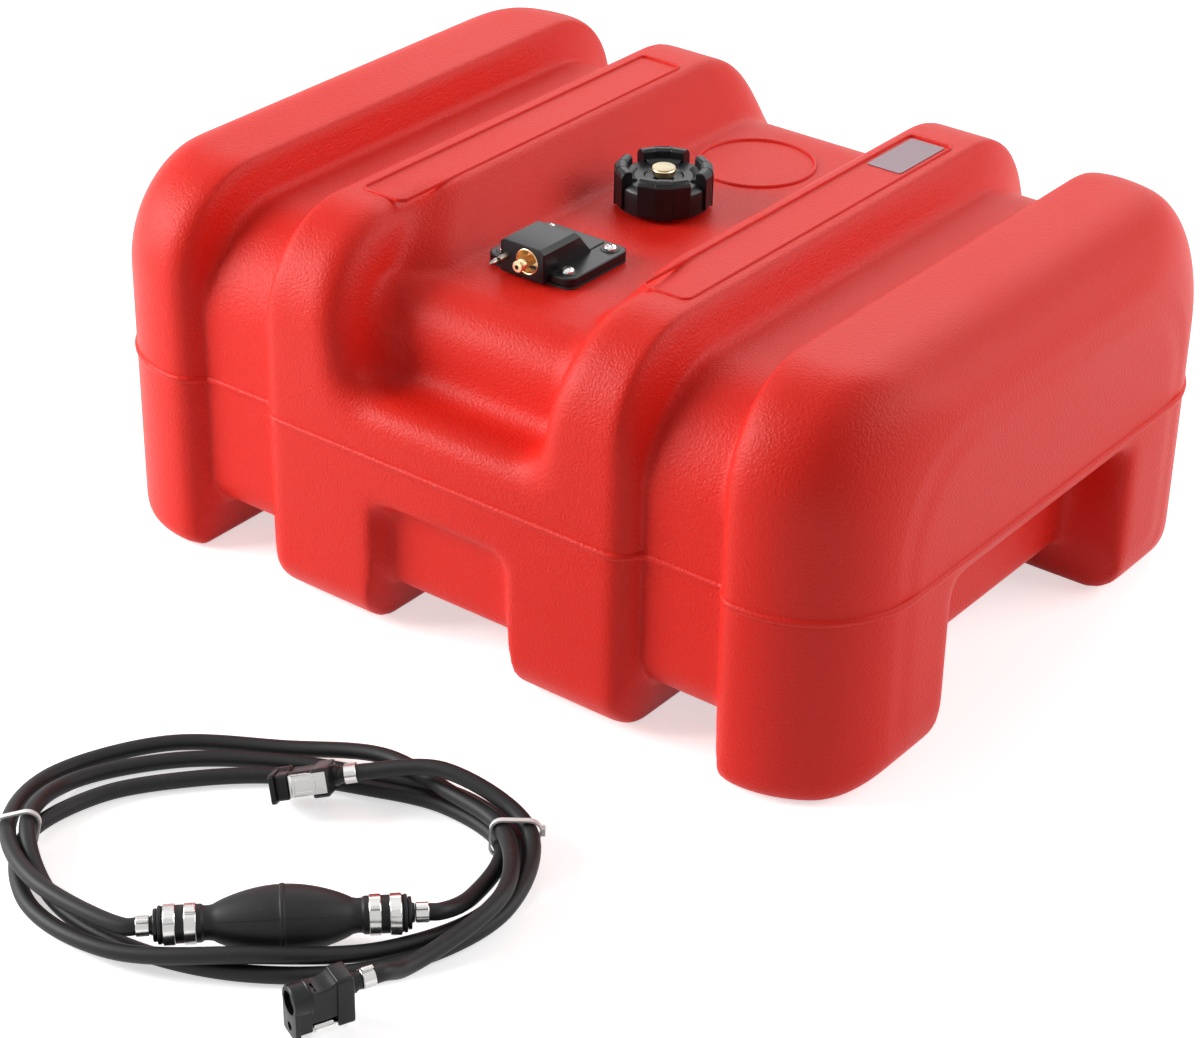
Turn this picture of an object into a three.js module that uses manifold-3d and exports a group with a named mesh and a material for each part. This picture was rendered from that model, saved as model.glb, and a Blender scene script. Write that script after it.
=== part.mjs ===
// Outboard fuel tank with its fuel line.
// Millimetres, Z up. The tank stands centred on the origin with the handle pocket towards -Y,
// and the coiled fuel line lies on the floor in front of it.
import * as THREE from 'three';
import { mergeVertices } from 'three/addons/utils/BufferGeometryUtils.js';
import Module from 'manifold-3d';

const wasm = await Module();
wasm.setup();

// Tank shell: overall sizes
const tankLength = 608;
const tankHeight = 268;
const wall = 4.5;
const partingHeight = 131;
const ribHeight = 5;
const ribProud = 1.5;

// Tank shell: heights of the top's bands and of the underside
const grooveDrop = 26;
const valleyDrop = 37;
const grooveTop = tankHeight - grooveDrop;
const valleyTop = tankHeight - valleyDrop;
const bellyHeight = 34;
const bellyHalfWidth = 105;
const bellyRamp = 8;

// Tank shell: where each band starts and ends, from the middle of the length
const valleyFoot = 54;
const valleyEdge = 92;
const middleEdge = 137;
const middleFoot = 153;
const lobeFoot = 205;
const lobeEdge = 215;
const stationGap = 1;
const middleFeetInner = 53;
const middleFeetOuter = 150;
const feetRamp = 8;

// Tank shell: front and back faces, from the middle of the width
const middleFront = 236;
const lobeFront = 228;
const grooveFront = 216;
const middleSide = 150;
const middleEdgeRadius = 18;
const lobeSide = 209;
const lobeEdgeRadius = 15;
const planCornerRadius = 77;
const topEndRadius = 38;
const bottomRadius = 28;
const topRadius = 71;

// Handle pocket in the front of the middle block
const pocketDrop = 101;
const pocketShelf = tankHeight - pocketDrop;
const pocketTopHalfWidth = 90;
const pocketShelfHalfWidth = 74;
const pocketCornerRadius = 12;
const pocketShoulder = 157;
const pocketWall = 187;
const pocketWallRise = 28;
const pocketWallTop = pocketShelf + pocketWallRise;
const pocketRunOut = 118;
const pocketFillet = 8;
const lipRadius = 12;

// Recesses between the middle feet and arches in both ends
const recessHalfWidth = 53;
const recessTop = 97;
const recessRadius = 14;
const archWall = 261;
const archTop = 118;
const archRadius = 22;

// Flat panels on the middle block's ridges, and the raised gauge ring
const panelInner = 95;
const panelOuter = 129;
const panelHalfLength = 150;
const panelDepth = 1;
const panelRadius = 4;
const ringCentre = [-5, 116];
const ringRadius = 42;
const ringWidth = 3;
const ringProud = 1.6;

// Filler neck and the hole of the pickup tube
const seatGap = 0.3;
const fittingsX = -12.5;
const neckY = 18.4;
const neckRadius = 24;
const neckBore = 19;
const neckHeight = 15;
const neckTop = valleyTop + neckHeight;
const threadProud = 1.1;
const threadPitch = 4;
const threadRings = 2;
const pickupHole = 10;

// Filler cap, each height from the neck's
const capRadius = 33;
const capLift = 3;
const capBottom = valleyTop + capLift;
const gasketThickness = 2.4;
const gasketInner = 20;
const capUnder = neckTop + gasketThickness + seatGap * 2;
const capFloorThickness = 4;
const capFloor = capUnder + capFloorThickness;
const capLugHeight = 8;
const capLugTop = capFloor + capLugHeight;
const capBore = 26;
const capBaseRadius = 31;
const capBaseChamfer = 3;
const capLugInner = 24;
const capLugChamfer = 3.5;
const capLugs = 4;
const capLugAngle = 65;
const capRestAngle = -53;

// Air vent in the cap
const ventBore = 3.4;
const stemRadius = 3;
const stemTipRadius = 2.2;
const stemFlange = 4.6;
const stemFlangeHeight = 2.4;
const stemReach = 7;
const stemTipLength = 3.3;
const stemBottom = capUnder - stemReach;
const stemShoulder = capFloor + seatGap;
const stemTip = stemShoulder + stemTipLength;
const knobRadius = 8;
const knobHeight = 4.6;
const knobBottom = stemShoulder + seatGap;
const knobTop = knobBottom + knobHeight;
const knobBore = 2.6;
const knobBoreTop = stemTip + seatGap;
const padRadius = 7.6;
const padHeight = 0.9;

// Withdrawal fitting on the valley, each height from the valley's
const plateWidth = 69;
const plateFront = 125;
const plateBack = 63;
const plateThickness = 6;
const plateRadius = 7;
const fittingGasketThickness = 1.4;
const gasketLow = valleyTop + seatGap;
const gasketHigh = gasketLow + fittingGasketThickness;
const plateLow = gasketHigh + seatGap;
const plateTop = plateLow + plateThickness;
const blockWidth = 35;
const blockOverhang = 6;
const blockLength = 35;
const blockFront = plateFront + blockOverhang;
const blockBack = blockFront - blockLength;
const blockHeight = 17;
const blockTop = plateTop + blockHeight;
const blockChamfer = 3;
const gussetLength = 14;
const gussetBack = blockBack - gussetLength;
const socketRadius = 9;
const socketDepth = 12;
const socketOffset = 4;
const socketRise = 6;
const socketHeight = plateTop + socketRise;
const passageRadius = 2.4;
const pinOffset = 16;
const pinRadius = 2;
const pinLength = 31;
const pinProud = 17;
const pinTip = blockFront + pinProud;
const pinRoot = pinTip - pinLength;
const pinPoint = 5;
const nippleWall = 1;
const nippleRadius = 3.2;
const nippleBore = 1.5;
const nippleProud = 10;
const nippleTip = blockFront + nippleProud;
const nippleBulge = 0.8;
const screwSpread = 25;
const screwInset = 9;
const screwFront = plateFront - screwInset;
const screwBack = plateBack + screwInset;
const screwRadius = 2;
const screwHead = 4.4;
const screwHeadHeight = 2.6;
const screwSlotDepth = 1.3;
const screwSlotWidth = 1.1;
const screwReach = 6.5;
const screwEnd = valleyTop - screwReach;
const screwClearance = 0.3;

// Pickup tube and its strainer
const pickupRadius = 5;
const pickupBore = 3.5;
const pickupLift = 12;
const pickupEnd = bellyHeight + pickupLift;
const strainerRadius = 8;
const strainerFloor = 5;
const strainerBottom = pickupEnd - strainerFloor;
const strainerHeight = 24;

// Blank label on the back of one ridge
const labelInset = 4;
const labelFront = 96;
const labelBack = 141;
const labelThickness = 0.6;
const labelRadius = 2;

// Fuel hose, its ring on the floor and the run of each lap
const hoseRadius = 5;
const hoseGap = 0.3;
const floorGap = 0.3;
const coilCentre = [55.5, -448];
const coilAngle = 37.07;
const coilHalfLength = 151;
const coilHalfWidth = 118;
const stationAngle = 30;
const hoseSides = 8;
const stationSteps = 3;
const engineStart = -150;
const engineLanes = [0.5, -0.1, -0.95, 0.3, 2.1, 2.75, 3.45, 1.5, -0.9, -2.45];
const engineLayers = [1.35, 0.95, 0.05, 0.1, 0.1, 0.95, 1.15, 1.35, 1.55, 1];
const tankStart = 30;
const tankLanes = [3.55, -0.05, -1.05, -0.85, -0.1, 0.75, 1.3, 1.1, 0.65, 2.15, 3.45, 3.8, 2.1, 0.4,
  0.05, 0.35, 0, -0.4, -0.05, 0.85, 2.75, 4.4, 4.9, 5, 3.55, 1.55, 1.15];
const tankLayers = [2.6, 1.35, 0.45, 0, 0, 0, 0.1, 1.3, 0.2, 0, 0, 0.05, 0, 0.15,
  0, 0.25, 1.2, 0.4, 0, 0.15, 0, 0, 0, 0, 0, 0.15, 0.55];

// Primer bulb in the hose
const bulbCentre = [123.6, -509, 20.6];
const bulbAngle = 43.4;
const bulbRadius = 19.6;
const bulbHalf = 39;
const bulbNeck = 9.8;
const bulbSeam = 0.6;
const bulbSeamWidth = 2;
const bulbWall = 3.5;
const collarRadius = 10.8;
const collarStart = 45;
const collarEnd = 69;
const collarBore = 7.6;
const bulbClampPlaces = [51, 62.5];
const bulbClampWidth = 6.5;
const hoseClampWidth = 7.4;
const clampThickness = 0.9;
const clampGap = 0.25;
const earWidth = 5;
const earHeight = 2.6;
const valveStart = 50;
const valveBarb = 7.2;
const valveFlange = 9.3;
const valveFlangeStart = 69.4;
const valveFlangeEnd = 71.4;
const valveBoss = 5.4;
const valveEnd = 73;
const valveBore = 3.2;
const valveSeat = 1.8;
const valveChamber = [54, 66];
const ballRadius = 2.8;
const ballPlace = 57.5;

// Quick connectors on the hose ends, along X from the open face to the hose
const connectorLength = 41.5;
const flangeThickness = 3;
const flangeHalfWidth = 9;
const flangeUnder = 22.5;
const barrelRadius = 9.5;
const barrelEnd = 10.5;
const frontHalfWidth = 7.8;
const frontUnder = 19.5;
const bodyHalfWidth = 7.5;
const bodyOver = 7.2;
const bodyUnder = 14;
const rearStart = 25;
const rearEnd = 35;
const rearHalfWidth = 8.8;
const rearOver = 10.5;
const rearUnder = 20.5;
const connectorCorner = 2.5;
const neckEnd = 39;
const connectorNeck = 6.2;
const connectorBoss = 5.2;
const connectorSocket = 7;
const connectorSocketDepth = 14;
const connectorPassage = 2;
const connectorPinHole = 2.6;
const connectorPinDepth = 7;
const latchRecessDepth = 4.1;
const latchThickness = 1.2;
const latchHalfWidth = 6.8;
const latchStart = 11.4;
const latchEnd = 33.8;
const latchDrop = 17.4;
const latchLip = 1.6;
const latchCheek = 2.6;
const latchCheekEnd = 23;
const engineExit = [194.1, -524.4, 23.1];
const engineTurn = 66;
const enginePitch = 0;
const tankExit = [57.1, -383.7, 20.5];
const tankTurn = 36.4;
const tankPitch = 11;

// Cable ties round the coil
const tieThickness = 1.2;
const tieWidth = 3.2;
const tieClearance = 1.5;
const tieHead = 5;
const tieHeadThickness = 3;

// Where the shell is parted into the pieces that collide, past the start of each band
const partPast = 2.5;

// Shares and counts that aren't lengths
const tieLeftAngle = 180;
const tieRightAngle = 0;
const fullTurn = 360;
const rampSteps = 3;
const arcSteps = 4;
const cavitySteps = 2;
const filletSteps = 5;
const roundSides = 24;
const smallSides = 12;
const clampSides = 20;
const cornerSteps = 2;
const nippleSides = 14;
const barrelSides = 16;
const tankRoll = -114;
const erodeSteps = 6;
const chamferShare = 0.6;
const bulbFullness = 0.8;
const slotLengthShare = 1.3;
const clampTurns = [40, 15, 30, 50];
const bulbHoseClampTurn = 30;
const gapSamples = 12;
const ownLapShare = 4;
const straightShares = [0, 0.7, 1.4];

const deg = (angle) => THREE.MathUtils.degToRad(angle);
const group = new THREE.Group();

// Materials by finish
function finish(color, roughness, metalness) {
  return new THREE.MeshStandardMaterial({ color, roughness, metalness });
}
const finishes = {
  shell: () => finish(0xd8231c, 0.45, 0),
  black: () => finish(0x17181a, 0.5, 0),
  rubber: () => finish(0x232427, 0.8, 0),
  brass: () => finish(0xc9a25a, 0.3, 1),
  steel: () => finish(0xb9bbbd, 0.3, 1),
  ivory: () => finish(0xe6dcb4, 0.5, 0),
  label: () => finish(0x77606a, 0.5, 0),
  white: () => finish(0xeeeeec, 0.5, 0),
  mesh: () => finish(0xd9d6cc, 0.7, 0),
};

// Bare, welded triangles of a geometry, without any that have shrunk to a line
function weld(geometry) {
  const bare = geometry.clone();
  bare.deleteAttribute('normal');
  bare.deleteAttribute('uv');
  const merged = mergeVertices(bare);
  const list = merged.index.array;
  const kept = [];
  for (let i = 0; i < list.length; i += 3) {
    const [a, b, c] = [list[i], list[i + 1], list[i + 2]];
    if (a !== b && b !== c && c !== a) kept.push(a, b, c);
  }
  merged.setIndex(kept);
  return merged;
}

function toSolid(geometry) {
  const merged = weld(geometry);
  return new wasm.Manifold(new wasm.Mesh({
    numProp: 3,
    vertProperties: new Float32Array(merged.attributes.position.array),
    triVerts: new Uint32Array(merged.index.array),
  }));
}

function fromSolid(solid) {
  const mesh = solid.getMesh();
  const geometry = new THREE.BufferGeometry();
  const count = mesh.numProp;
  const places = [];
  for (let i = 0; i < mesh.vertProperties.length; i += count) {
    places.push(...mesh.vertProperties.slice(i, i + 3));
  }
  geometry.setAttribute('position', new THREE.Float32BufferAttribute(places, 3));
  geometry.setIndex(Array.from(mesh.triVerts));
  geometry.computeVertexNormals();
  return geometry;
}

const join = (...parts) => parts.map(toSolid).reduce((sum, part) => sum.add(part));
const cut = (body, ...tools) => tools.reduce((rest, tool) => rest.subtract(toSolid(tool)), body);

// Extrusions of a shape along one axis: the shape's own plane is YZ for 'x', XZ for 'y', XY for 'z'
function extrude(shape, axis, from, to, cornerSteps = filletSteps) {
  const geometry = new THREE.ExtrudeGeometry(shape, {
    depth: to - from, bevelEnabled: false, curveSegments: cornerSteps,
  });
  const [x, y, z] = [new THREE.Vector3(1, 0, 0), new THREE.Vector3(0, 1, 0), new THREE.Vector3(0, 0, 1)];
  const turn = new THREE.Matrix4();
  if (axis === 'x') {
    turn.makeBasis(y, z, x);
    geometry.applyMatrix4(turn);
    geometry.translate(from, 0, 0);
  } else if (axis === 'y') {
    turn.makeBasis(x, z, y.clone().negate());
    geometry.applyMatrix4(turn);
    geometry.translate(0, to, 0);
  } else {
    geometry.translate(0, 0, from);
  }
  return geometry;
}

function roundedRect(left, right, low, high, radius) {
  const shape = new THREE.Shape();
  shape.moveTo(left + radius, low);
  shape.lineTo(right - radius, low);
  shape.absarc(right - radius, low + radius, radius, -Math.PI / 2, 0);
  shape.lineTo(right, high - radius);
  shape.absarc(right - radius, high - radius, radius, 0, Math.PI / 2);
  shape.lineTo(left + radius, high);
  shape.absarc(left + radius, high - radius, radius, Math.PI / 2, Math.PI);
  shape.lineTo(left, low + radius);
  shape.absarc(left + radius, low + radius, radius, Math.PI, Math.PI * 3 / 2);
  return shape;
}

function rectangle(left, right, low, high) {
  return polygon([[left, low], [right, low], [right, high], [left, high]]);
}

function polygon(points) {
  return new THREE.Shape(points.map(([a, b]) => new THREE.Vector2(a, b)));
}

// Turned pieces: points are [radius, height], about Z, or laid along X
function turned(points, sides, axis = 'z') {
  const geometry = new THREE.LatheGeometry(points.map(([r, h]) => new THREE.Vector2(r, h)), sides);
  if (axis === 'z') geometry.rotateX(Math.PI / 2);
  if (axis === 'x') geometry.rotateZ(-Math.PI / 2);
  return weld(geometry);
}

function disc(radius, low, high, sides = roundSides) {
  return turned([[0, low], [radius, low], [radius, high], [0, high]], sides);
}

function add(name, geometry, material, parent = group) {
  const plain = geometry.isBufferGeometry ? geometry : fromSolid(geometry);
  plain.computeVertexNormals();
  const mesh = new THREE.Mesh(plain, finishes[material]());
  mesh.name = name;
  parent.add(mesh);
  return mesh;
}

function place(geometry, x, y, z) {
  geometry.translate(x, y, z);
  return geometry;
}

// Smooth step from 0 at one place to 1 at another
function ramp(x, from, to) {
  const share = THREE.MathUtils.clamp((x - from) / (to - from), 0, 1);
  return share * share * (3 - 2 * share);
}

// Height that a round edge has lost at some distance past its start
function roundLoss(distance, radius) {
  const past = THREE.MathUtils.clamp(distance, 0, radius);
  return radius - Math.sqrt(radius * radius - past * past);
}

// The shell's top, front and bottom along its length
const halfLength = tankLength / 2;
const endStart = halfLength - topEndRadius;
const cornerStart = halfLength - planCornerRadius;
const bottomStart = halfLength - bottomRadius;

function topAt(x) {
  const a = Math.min(Math.abs(x), halfLength);
  const middle = valleyTop + (tankHeight - valleyTop) * ramp(a, valleyFoot, valleyEdge);
  const groove = (tankHeight - grooveTop) * (ramp(a, middleEdge, middleFoot) - ramp(a, lobeFoot, lobeEdge));
  return middle - groove - roundLoss(a - endStart, topEndRadius);
}

function frontAt(x) {
  const a = Math.min(Math.abs(x), halfLength);
  const middle = middleFront - roundLoss(a - middleSide + middleEdgeRadius, middleEdgeRadius);
  const lobe = lobeFront - roundLoss(lobeSide + lobeEdgeRadius - a, lobeEdgeRadius);
  if (a > lobeSide + lobeEdgeRadius) return lobe - roundLoss(a - cornerStart, planCornerRadius);
  if (a <= middleSide) return middle;
  return Math.max(grooveFront, a >= lobeSide ? lobe : grooveFront);
}

function bottomAt(x) {
  const a = Math.min(Math.abs(x), halfLength);
  const inner = ramp(a, middleFeetInner, middleFeetInner + feetRamp);
  const outer = ramp(a, middleFeetOuter - feetRamp, middleFeetOuter);
  const end = ramp(a, lobeSide, lobeSide + feetRamp);
  return bellyHeight * (1 - inner + outer - end) + roundLoss(a - bottomStart, bottomRadius);
}

// A profile moved inwards by the wall all along its slope
function inward(profile, x, inset, sign) {
  let value = profile(x) - sign * inset;
  for (let k = -erodeSteps; k <= erodeSteps; k += 1) {
    const angle = (Math.PI / 2) * (k / erodeSteps);
    const moved = profile(x + inset * Math.sin(angle)) - sign * inset * Math.cos(angle);
    value = sign > 0 ? Math.min(value, moved) : Math.max(value, moved);
  }
  return value;
}

// One closed section of the shell across the length, from the bottom's middle round by +Y
function sectionAt(x, inset, lowSteps = arcSteps, highSteps = filletSteps) {
  const top = inward(topAt, x, inset, 1);
  const front = inward(frontAt, x, inset, 1);
  const bottom = inward(bottomAt, x, inset, -1);
  const low = bottomRadius - inset;
  const high = topRadius - inset;
  const half = [[bellyHalfWidth + inset, bellyHeight + inset], [bellyHalfWidth + bellyRamp + inset, bottom]];
  for (let i = 0; i <= lowSteps; i += 1) {
    const angle = (Math.PI / 2) * (i / lowSteps);
    half.push([front - low + low * Math.sin(angle), bottom + low - low * Math.cos(angle)]);
  }
  for (let i = 0; i <= highSteps; i += 1) {
    const angle = (Math.PI / 2) * (i / highSteps);
    half.push([front - high + high * Math.cos(angle), top - high + high * Math.sin(angle)]);
  }
  const other = half.map(([y, z]) => [-y, z]).reverse();
  return [[0, bellyHeight + inset], ...half, [0, top], ...other];
}

function stations(inset, steps) {
  const list = [0, halfLength - inset];
  const ramps = [[valleyFoot, valleyEdge], [middleEdge, middleFoot], [lobeFoot, lobeEdge]];
  ramps.push([middleFeetInner, middleFeetInner + feetRamp], [middleFeetOuter - feetRamp, middleFeetOuter]);
  for (const [from, to] of ramps) {
    for (let i = 0; i <= steps; i += 1) list.push(from + (to - from) * (i / steps));
  }
  const rounds = [
    [middleSide - middleEdgeRadius, middleEdgeRadius], [lobeSide + lobeEdgeRadius, -lobeEdgeRadius],
  ];
  rounds.push([cornerStart, planCornerRadius], [endStart, topEndRadius]);
  for (const [from, radius] of rounds) {
    for (let i = 0; i <= steps; i += 1) list.push(from + radius * Math.sin((Math.PI / 2) * (i / steps)));
  }
  const inside = list.filter((x) => x <= halfLength - inset).sort((a, b) => a - b);
  const spaced = inside.filter((x, i) => i === 0 || x - inside[i - 1] > stationGap);
  if (spaced[spaced.length - 1] < halfLength - inset) spaced[spaced.length - 1] = halfLength - inset;
  return [...spaced.slice(1).reverse().map((x) => -x), ...spaced];
}

function loft(places, section) {
  const points = [];
  const faces = [];
  const rows = places.map(section);
  const count = rows[0].length;
  rows.forEach((row, i) => row.forEach(([y, z]) => points.push(places[i], y, z)));
  for (let i = 0; i + 1 < rows.length; i += 1) {
    for (let k = 0; k < count; k += 1) {
      const next = (k + 1) % count;
      const [a, b, c, d] = [i * count + k, i * count + next, (i + 1) * count + k, (i + 1) * count + next];
      faces.push(a, b, d, a, d, c);
    }
  }
  for (const end of [0, rows.length - 1]) {
    const row = rows[end];
    const middle = points.length / 3;
    const mean = [0, 1].map((axis) => row.reduce((sum, point) => sum + point[axis], 0) / count);
    points.push(places[end], ...mean);
    for (let k = 0; k < count; k += 1) {
      const [a, b] = [end * count + k, end * count + ((k + 1) % count)];
      faces.push(...(end === 0 ? [middle, b, a] : [middle, a, b]));
    }
  }
  const geometry = new THREE.BufferGeometry();
  geometry.setAttribute('position', new THREE.Float32BufferAttribute(points, 3));
  geometry.setIndex(faces);
  return geometry;
}

// Tools that shape the shell, each grown by the wall for the cavity's side
function pocketTools(grow) {
  const outside = middleFront + lipRadius;
  const above = tankHeight + lipRadius;
  const shelf = pocketShelf - grow;
  const wallFoot = pocketWall - grow;
  const profile = [[-pocketRunOut + grow, above]];
  for (let i = 0; i <= arcSteps; i += 1) {
    const angle = (Math.PI / 2) * (i / arcSteps);
    profile.push([
      -pocketShoulder + grow - (pocketWall - pocketShoulder) * Math.sin(angle),
      pocketWallTop - grow + (valleyTop - pocketWallTop) * Math.cos(angle),
    ]);
  }
  for (let i = 0; i <= arcSteps; i += 1) {
    const angle = (Math.PI / 2) * (i / arcSteps);
    profile.push([
      -wallFoot - pocketFillet + pocketFillet * Math.cos(angle),
      shelf + pocketFillet - pocketFillet * Math.sin(angle),
    ]);
  }
  profile.push([-outside, shelf], [-outside, above]);
  const side = extrude(polygon(profile), 'x', -middleSide, middleSide);
  const slope = (pocketTopHalfWidth - pocketShelfHalfWidth) / (tankHeight - pocketShelf);
  const lowHalf = pocketShelfHalfWidth + grow;
  const highHalf = lowHalf + slope * (above - shelf);
  const front = new THREE.Shape();
  front.moveTo(-highHalf, above);
  front.lineTo(-lowHalf, shelf + pocketCornerRadius);
  front.quadraticCurveTo(-lowHalf, shelf, -lowHalf + pocketCornerRadius, shelf);
  front.lineTo(lowHalf - pocketCornerRadius, shelf);
  front.quadraticCurveTo(lowHalf, shelf, lowHalf, shelf + pocketCornerRadius);
  front.lineTo(highHalf, above);
  const across = extrude(front, 'y', -outside, 0);
  const tools = [fromSolid(toSolid(side).intersect(toSolid(across)))];
  const lip = [];
  for (let i = 0; i <= arcSteps; i += 1) {
    const angle = (Math.PI / 2) * (i / arcSteps);
    lip.push([
      -middleFront + grow + lipRadius - lipRadius * Math.sin(angle),
      shelf - lipRadius + lipRadius * Math.cos(angle),
    ]);
  }
  lip.push([-outside, shelf - lipRadius], [-outside, shelf + lipRadius]);
  lip.push([-middleFront + grow + lipRadius, shelf + lipRadius]);
  const lipHalf = pocketShelfHalfWidth - pocketCornerRadius + grow;
  tools.push(extrude(polygon(lip), 'x', -lipHalf, lipHalf));
  return tools;
}

function recessTools(grow) {
  const half = recessHalfWidth + grow;
  const shape = roundedRect(-half, half, -bellyHeight, recessTop + grow, recessRadius);
  const outside = middleFront + lipRadius;
  return [
    extrude(shape, 'y', grooveFront - grow, outside),
    extrude(shape, 'y', -outside, -grooveFront + grow),
  ];
}

function archTools(grow) {
  const half = bellyHalfWidth + grow;
  const shape = roundedRect(-half, half, -bellyHeight, archTop + grow, archRadius);
  const outside = halfLength + ribHeight;
  return [extrude(shape, 'x', archWall - grow, outside), extrude(shape, 'x', -outside, -archWall + grow)];
}

function panelTools() {
  const shape = (left, right) => roundedRect(left, right, -panelHalfLength, panelHalfLength, panelRadius);
  const floor = tankHeight - panelDepth;
  return [
    extrude(shape(panelInner, panelOuter), 'z', floor, tankHeight + lipRadius),
    extrude(shape(-panelOuter, -panelInner), 'z', floor, tankHeight + lipRadius),
  ];
}

function ribPlate(places) {
  const stretch = 1 + ribProud / halfLength;
  const far = places.map((x) => [x * stretch, frontAt(x) + ribProud]);
  const near = places.map((x) => [x * stretch, -frontAt(x) - ribProud]);
  return extrude(polygon([...near, ...far.reverse()]), 'z',
    partingHeight - ribHeight / 2, partingHeight + ribHeight / 2);
}

function fillerNeck() {
  const profile = [[neckBore, valleyTop], [neckRadius, valleyTop]];
  for (let i = threadRings; i > 0; i -= 1) {
    const height = neckTop - threadPitch * i;
    profile.push([neckRadius, height - threadProud], [neckRadius + threadProud, height]);
    profile.push([neckRadius, height + threadProud]);
  }
  profile.push([neckRadius, neckTop], [neckBore, neckTop], [neckBore, valleyTop]);
  return place(turned(profile, roundSides), fittingsX, neckY, 0);
}

function gaugeRing() {
  const [low, high] = [valleyTop - wall / 2, valleyTop + ringProud];
  const inner = ringRadius - ringWidth;
  const chamfer = ringWidth * (1 - chamferShare) / 2;
  const profile = [
    [inner, low], [ringRadius, low], [ringRadius, high - chamfer], [ringRadius - chamfer, high],
  ];
  profile.push([inner + chamfer, high], [inner, high - chamfer], [inner, low]);
  return place(turned(profile, roundSides), ...ringCentre, 0);
}

const screwPlaces = [-screwFront, -screwBack].flatMap((y) => {
  return [[fittingsX + screwSpread, y], [fittingsX - screwSpread, y]];
});
const pickupPlace = [fittingsX, -(plateFront + plateBack) / 2];

function tankShell() {
  const outerPlaces = stations(0, rampSteps);
  let body = join(loft(outerPlaces, (x) => sectionAt(x, 0)), ribPlate(outerPlaces), gaugeRing());
  body = cut(body, ...pocketTools(0), ...recessTools(0), ...archTools(0), ...panelTools());
  const insideAt = (x) => sectionAt(x, wall, cavitySteps, cavitySteps + 1);
  let cavity = toSolid(loft(stations(wall, cavitySteps), insideAt));
  cavity = cut(cavity, ...pocketTools(wall), ...recessTools(wall), ...archTools(wall));
  body = body.subtract(cavity);
  const through = [place(disc(neckBore, pocketShelf, tankHeight), fittingsX, neckY, 0)];
  through.push(place(disc(pickupHole, pocketShelf, tankHeight, smallSides), ...pickupPlace, 0));
  for (const [x, y] of screwPlaces) {
    const bore = disc(screwRadius + screwClearance, screwEnd - wall, tankHeight, smallSides / 2);
    through.push(place(bore, x, y, 0));
  }
  return cut(body, ...through);
}

// The one moulding is parted into touching pieces at the parting line, at the start of each band
// and behind the pocket, so that each piece's collision leaves the hollows open
const between = (solid, axis, from, to) => {
  const normal = [0, 0, 0];
  normal[axis] = 1;
  const above = solid.trimByPlane(normal, from);
  normal[axis] = -1;
  return above.trimByPlane(normal, -to);
};
const beyond = tankLength;
const valleyCut = valleyFoot - partPast;
const grooveCut = middleFoot + partPast;
const lobeCut = lobeFoot - partPast;
const shellBands = [
  ['lobe_left', -beyond, -lobeCut],
  ['groove_left', -lobeCut, -grooveCut],
  ['ridge_left', -grooveCut, -valleyCut],
  ['valley', -valleyCut, valleyCut],
  ['ridge_right', valleyCut, grooveCut],
  ['groove_right', grooveCut, lobeCut],
  ['lobe_right', lobeCut, beyond],
];
const wholeShell = tankShell();
for (const [name, from, to] of shellBands) {
  const band = between(wholeShell, 0, from, to);
  const upper = between(band, 2, partingHeight, beyond);
  add(`shell_lower_${name}`, between(band, 2, -beyond, partingHeight), 'shell');
  if (name === 'valley') {
    add('shell_upper_valley', between(upper, 1, partPast - pocketRunOut, beyond), 'shell');
    add('shell_upper_pocket', between(upper, 1, -beyond, partPast - pocketRunOut), 'shell');
  } else {
    add(`shell_upper_${name}`, upper, 'shell');
  }
}
add('shell_filler_neck', fillerNeck(), 'shell');

// Filler cap with four lugs
const capGroup = new THREE.Group();
capGroup.position.set(fittingsX, neckY, 0);
capGroup.rotation.z = deg(capRestAngle);
group.add(capGroup);

function fillerCap() {
  const base = turned([
    [capBore, capBottom], [capBaseRadius, capBottom], [capBaseRadius, capFloor - capBaseChamfer],
    [capBaseRadius - capBaseChamfer, capFloor], [ventBore, capFloor], [ventBore, capUnder],
    [capBore, capUnder], [capBore, capBottom],
  ], roundSides);
  const inner = (capBaseRadius + capBore) / 2;
  const lugRing = turned([
    [inner, capBottom], [capRadius, capBottom], [capRadius, capLugTop - capLugChamfer],
    [capRadius - capLugChamfer, capLugTop], [capLugInner + capLugChamfer / 2, capLugTop],
    [capLugInner, capFloor - capFloorThickness / 2], [inner, capFloor - capFloorThickness / 2],
    [inner, capBottom],
  ], roundSides);
  const ring = toSolid(lugRing);
  let cap = toSolid(base);
  for (let i = 0; i < capLugs; i += 1) {
    const middle = (Math.PI * 2 * i) / capLugs;
    const [from, to] = [middle - deg(capLugAngle) / 2, middle + deg(capLugAngle) / 2];
    const reach = capRadius * 2;
    const sector = polygon([[0, 0], [reach * Math.cos(from), reach * Math.sin(from)],
      [reach * Math.cos(to), reach * Math.sin(to)]]);
    const wedge = extrude(sector, 'z', capBottom - capRadius, capLugTop + capRadius);
    cap = cap.add(ring.intersect(toSolid(wedge)));
  }
  return cap;
}
add('filler_cap', fillerCap(), 'black', capGroup);
add('cap_gasket', turned([
  [gasketInner, neckTop + seatGap], [capBore - seatGap, neckTop + seatGap],
  [capBore - seatGap, capUnder - seatGap], [gasketInner, capUnder - seatGap],
  [gasketInner, neckTop + seatGap],
], roundSides), 'rubber', capGroup);

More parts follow.
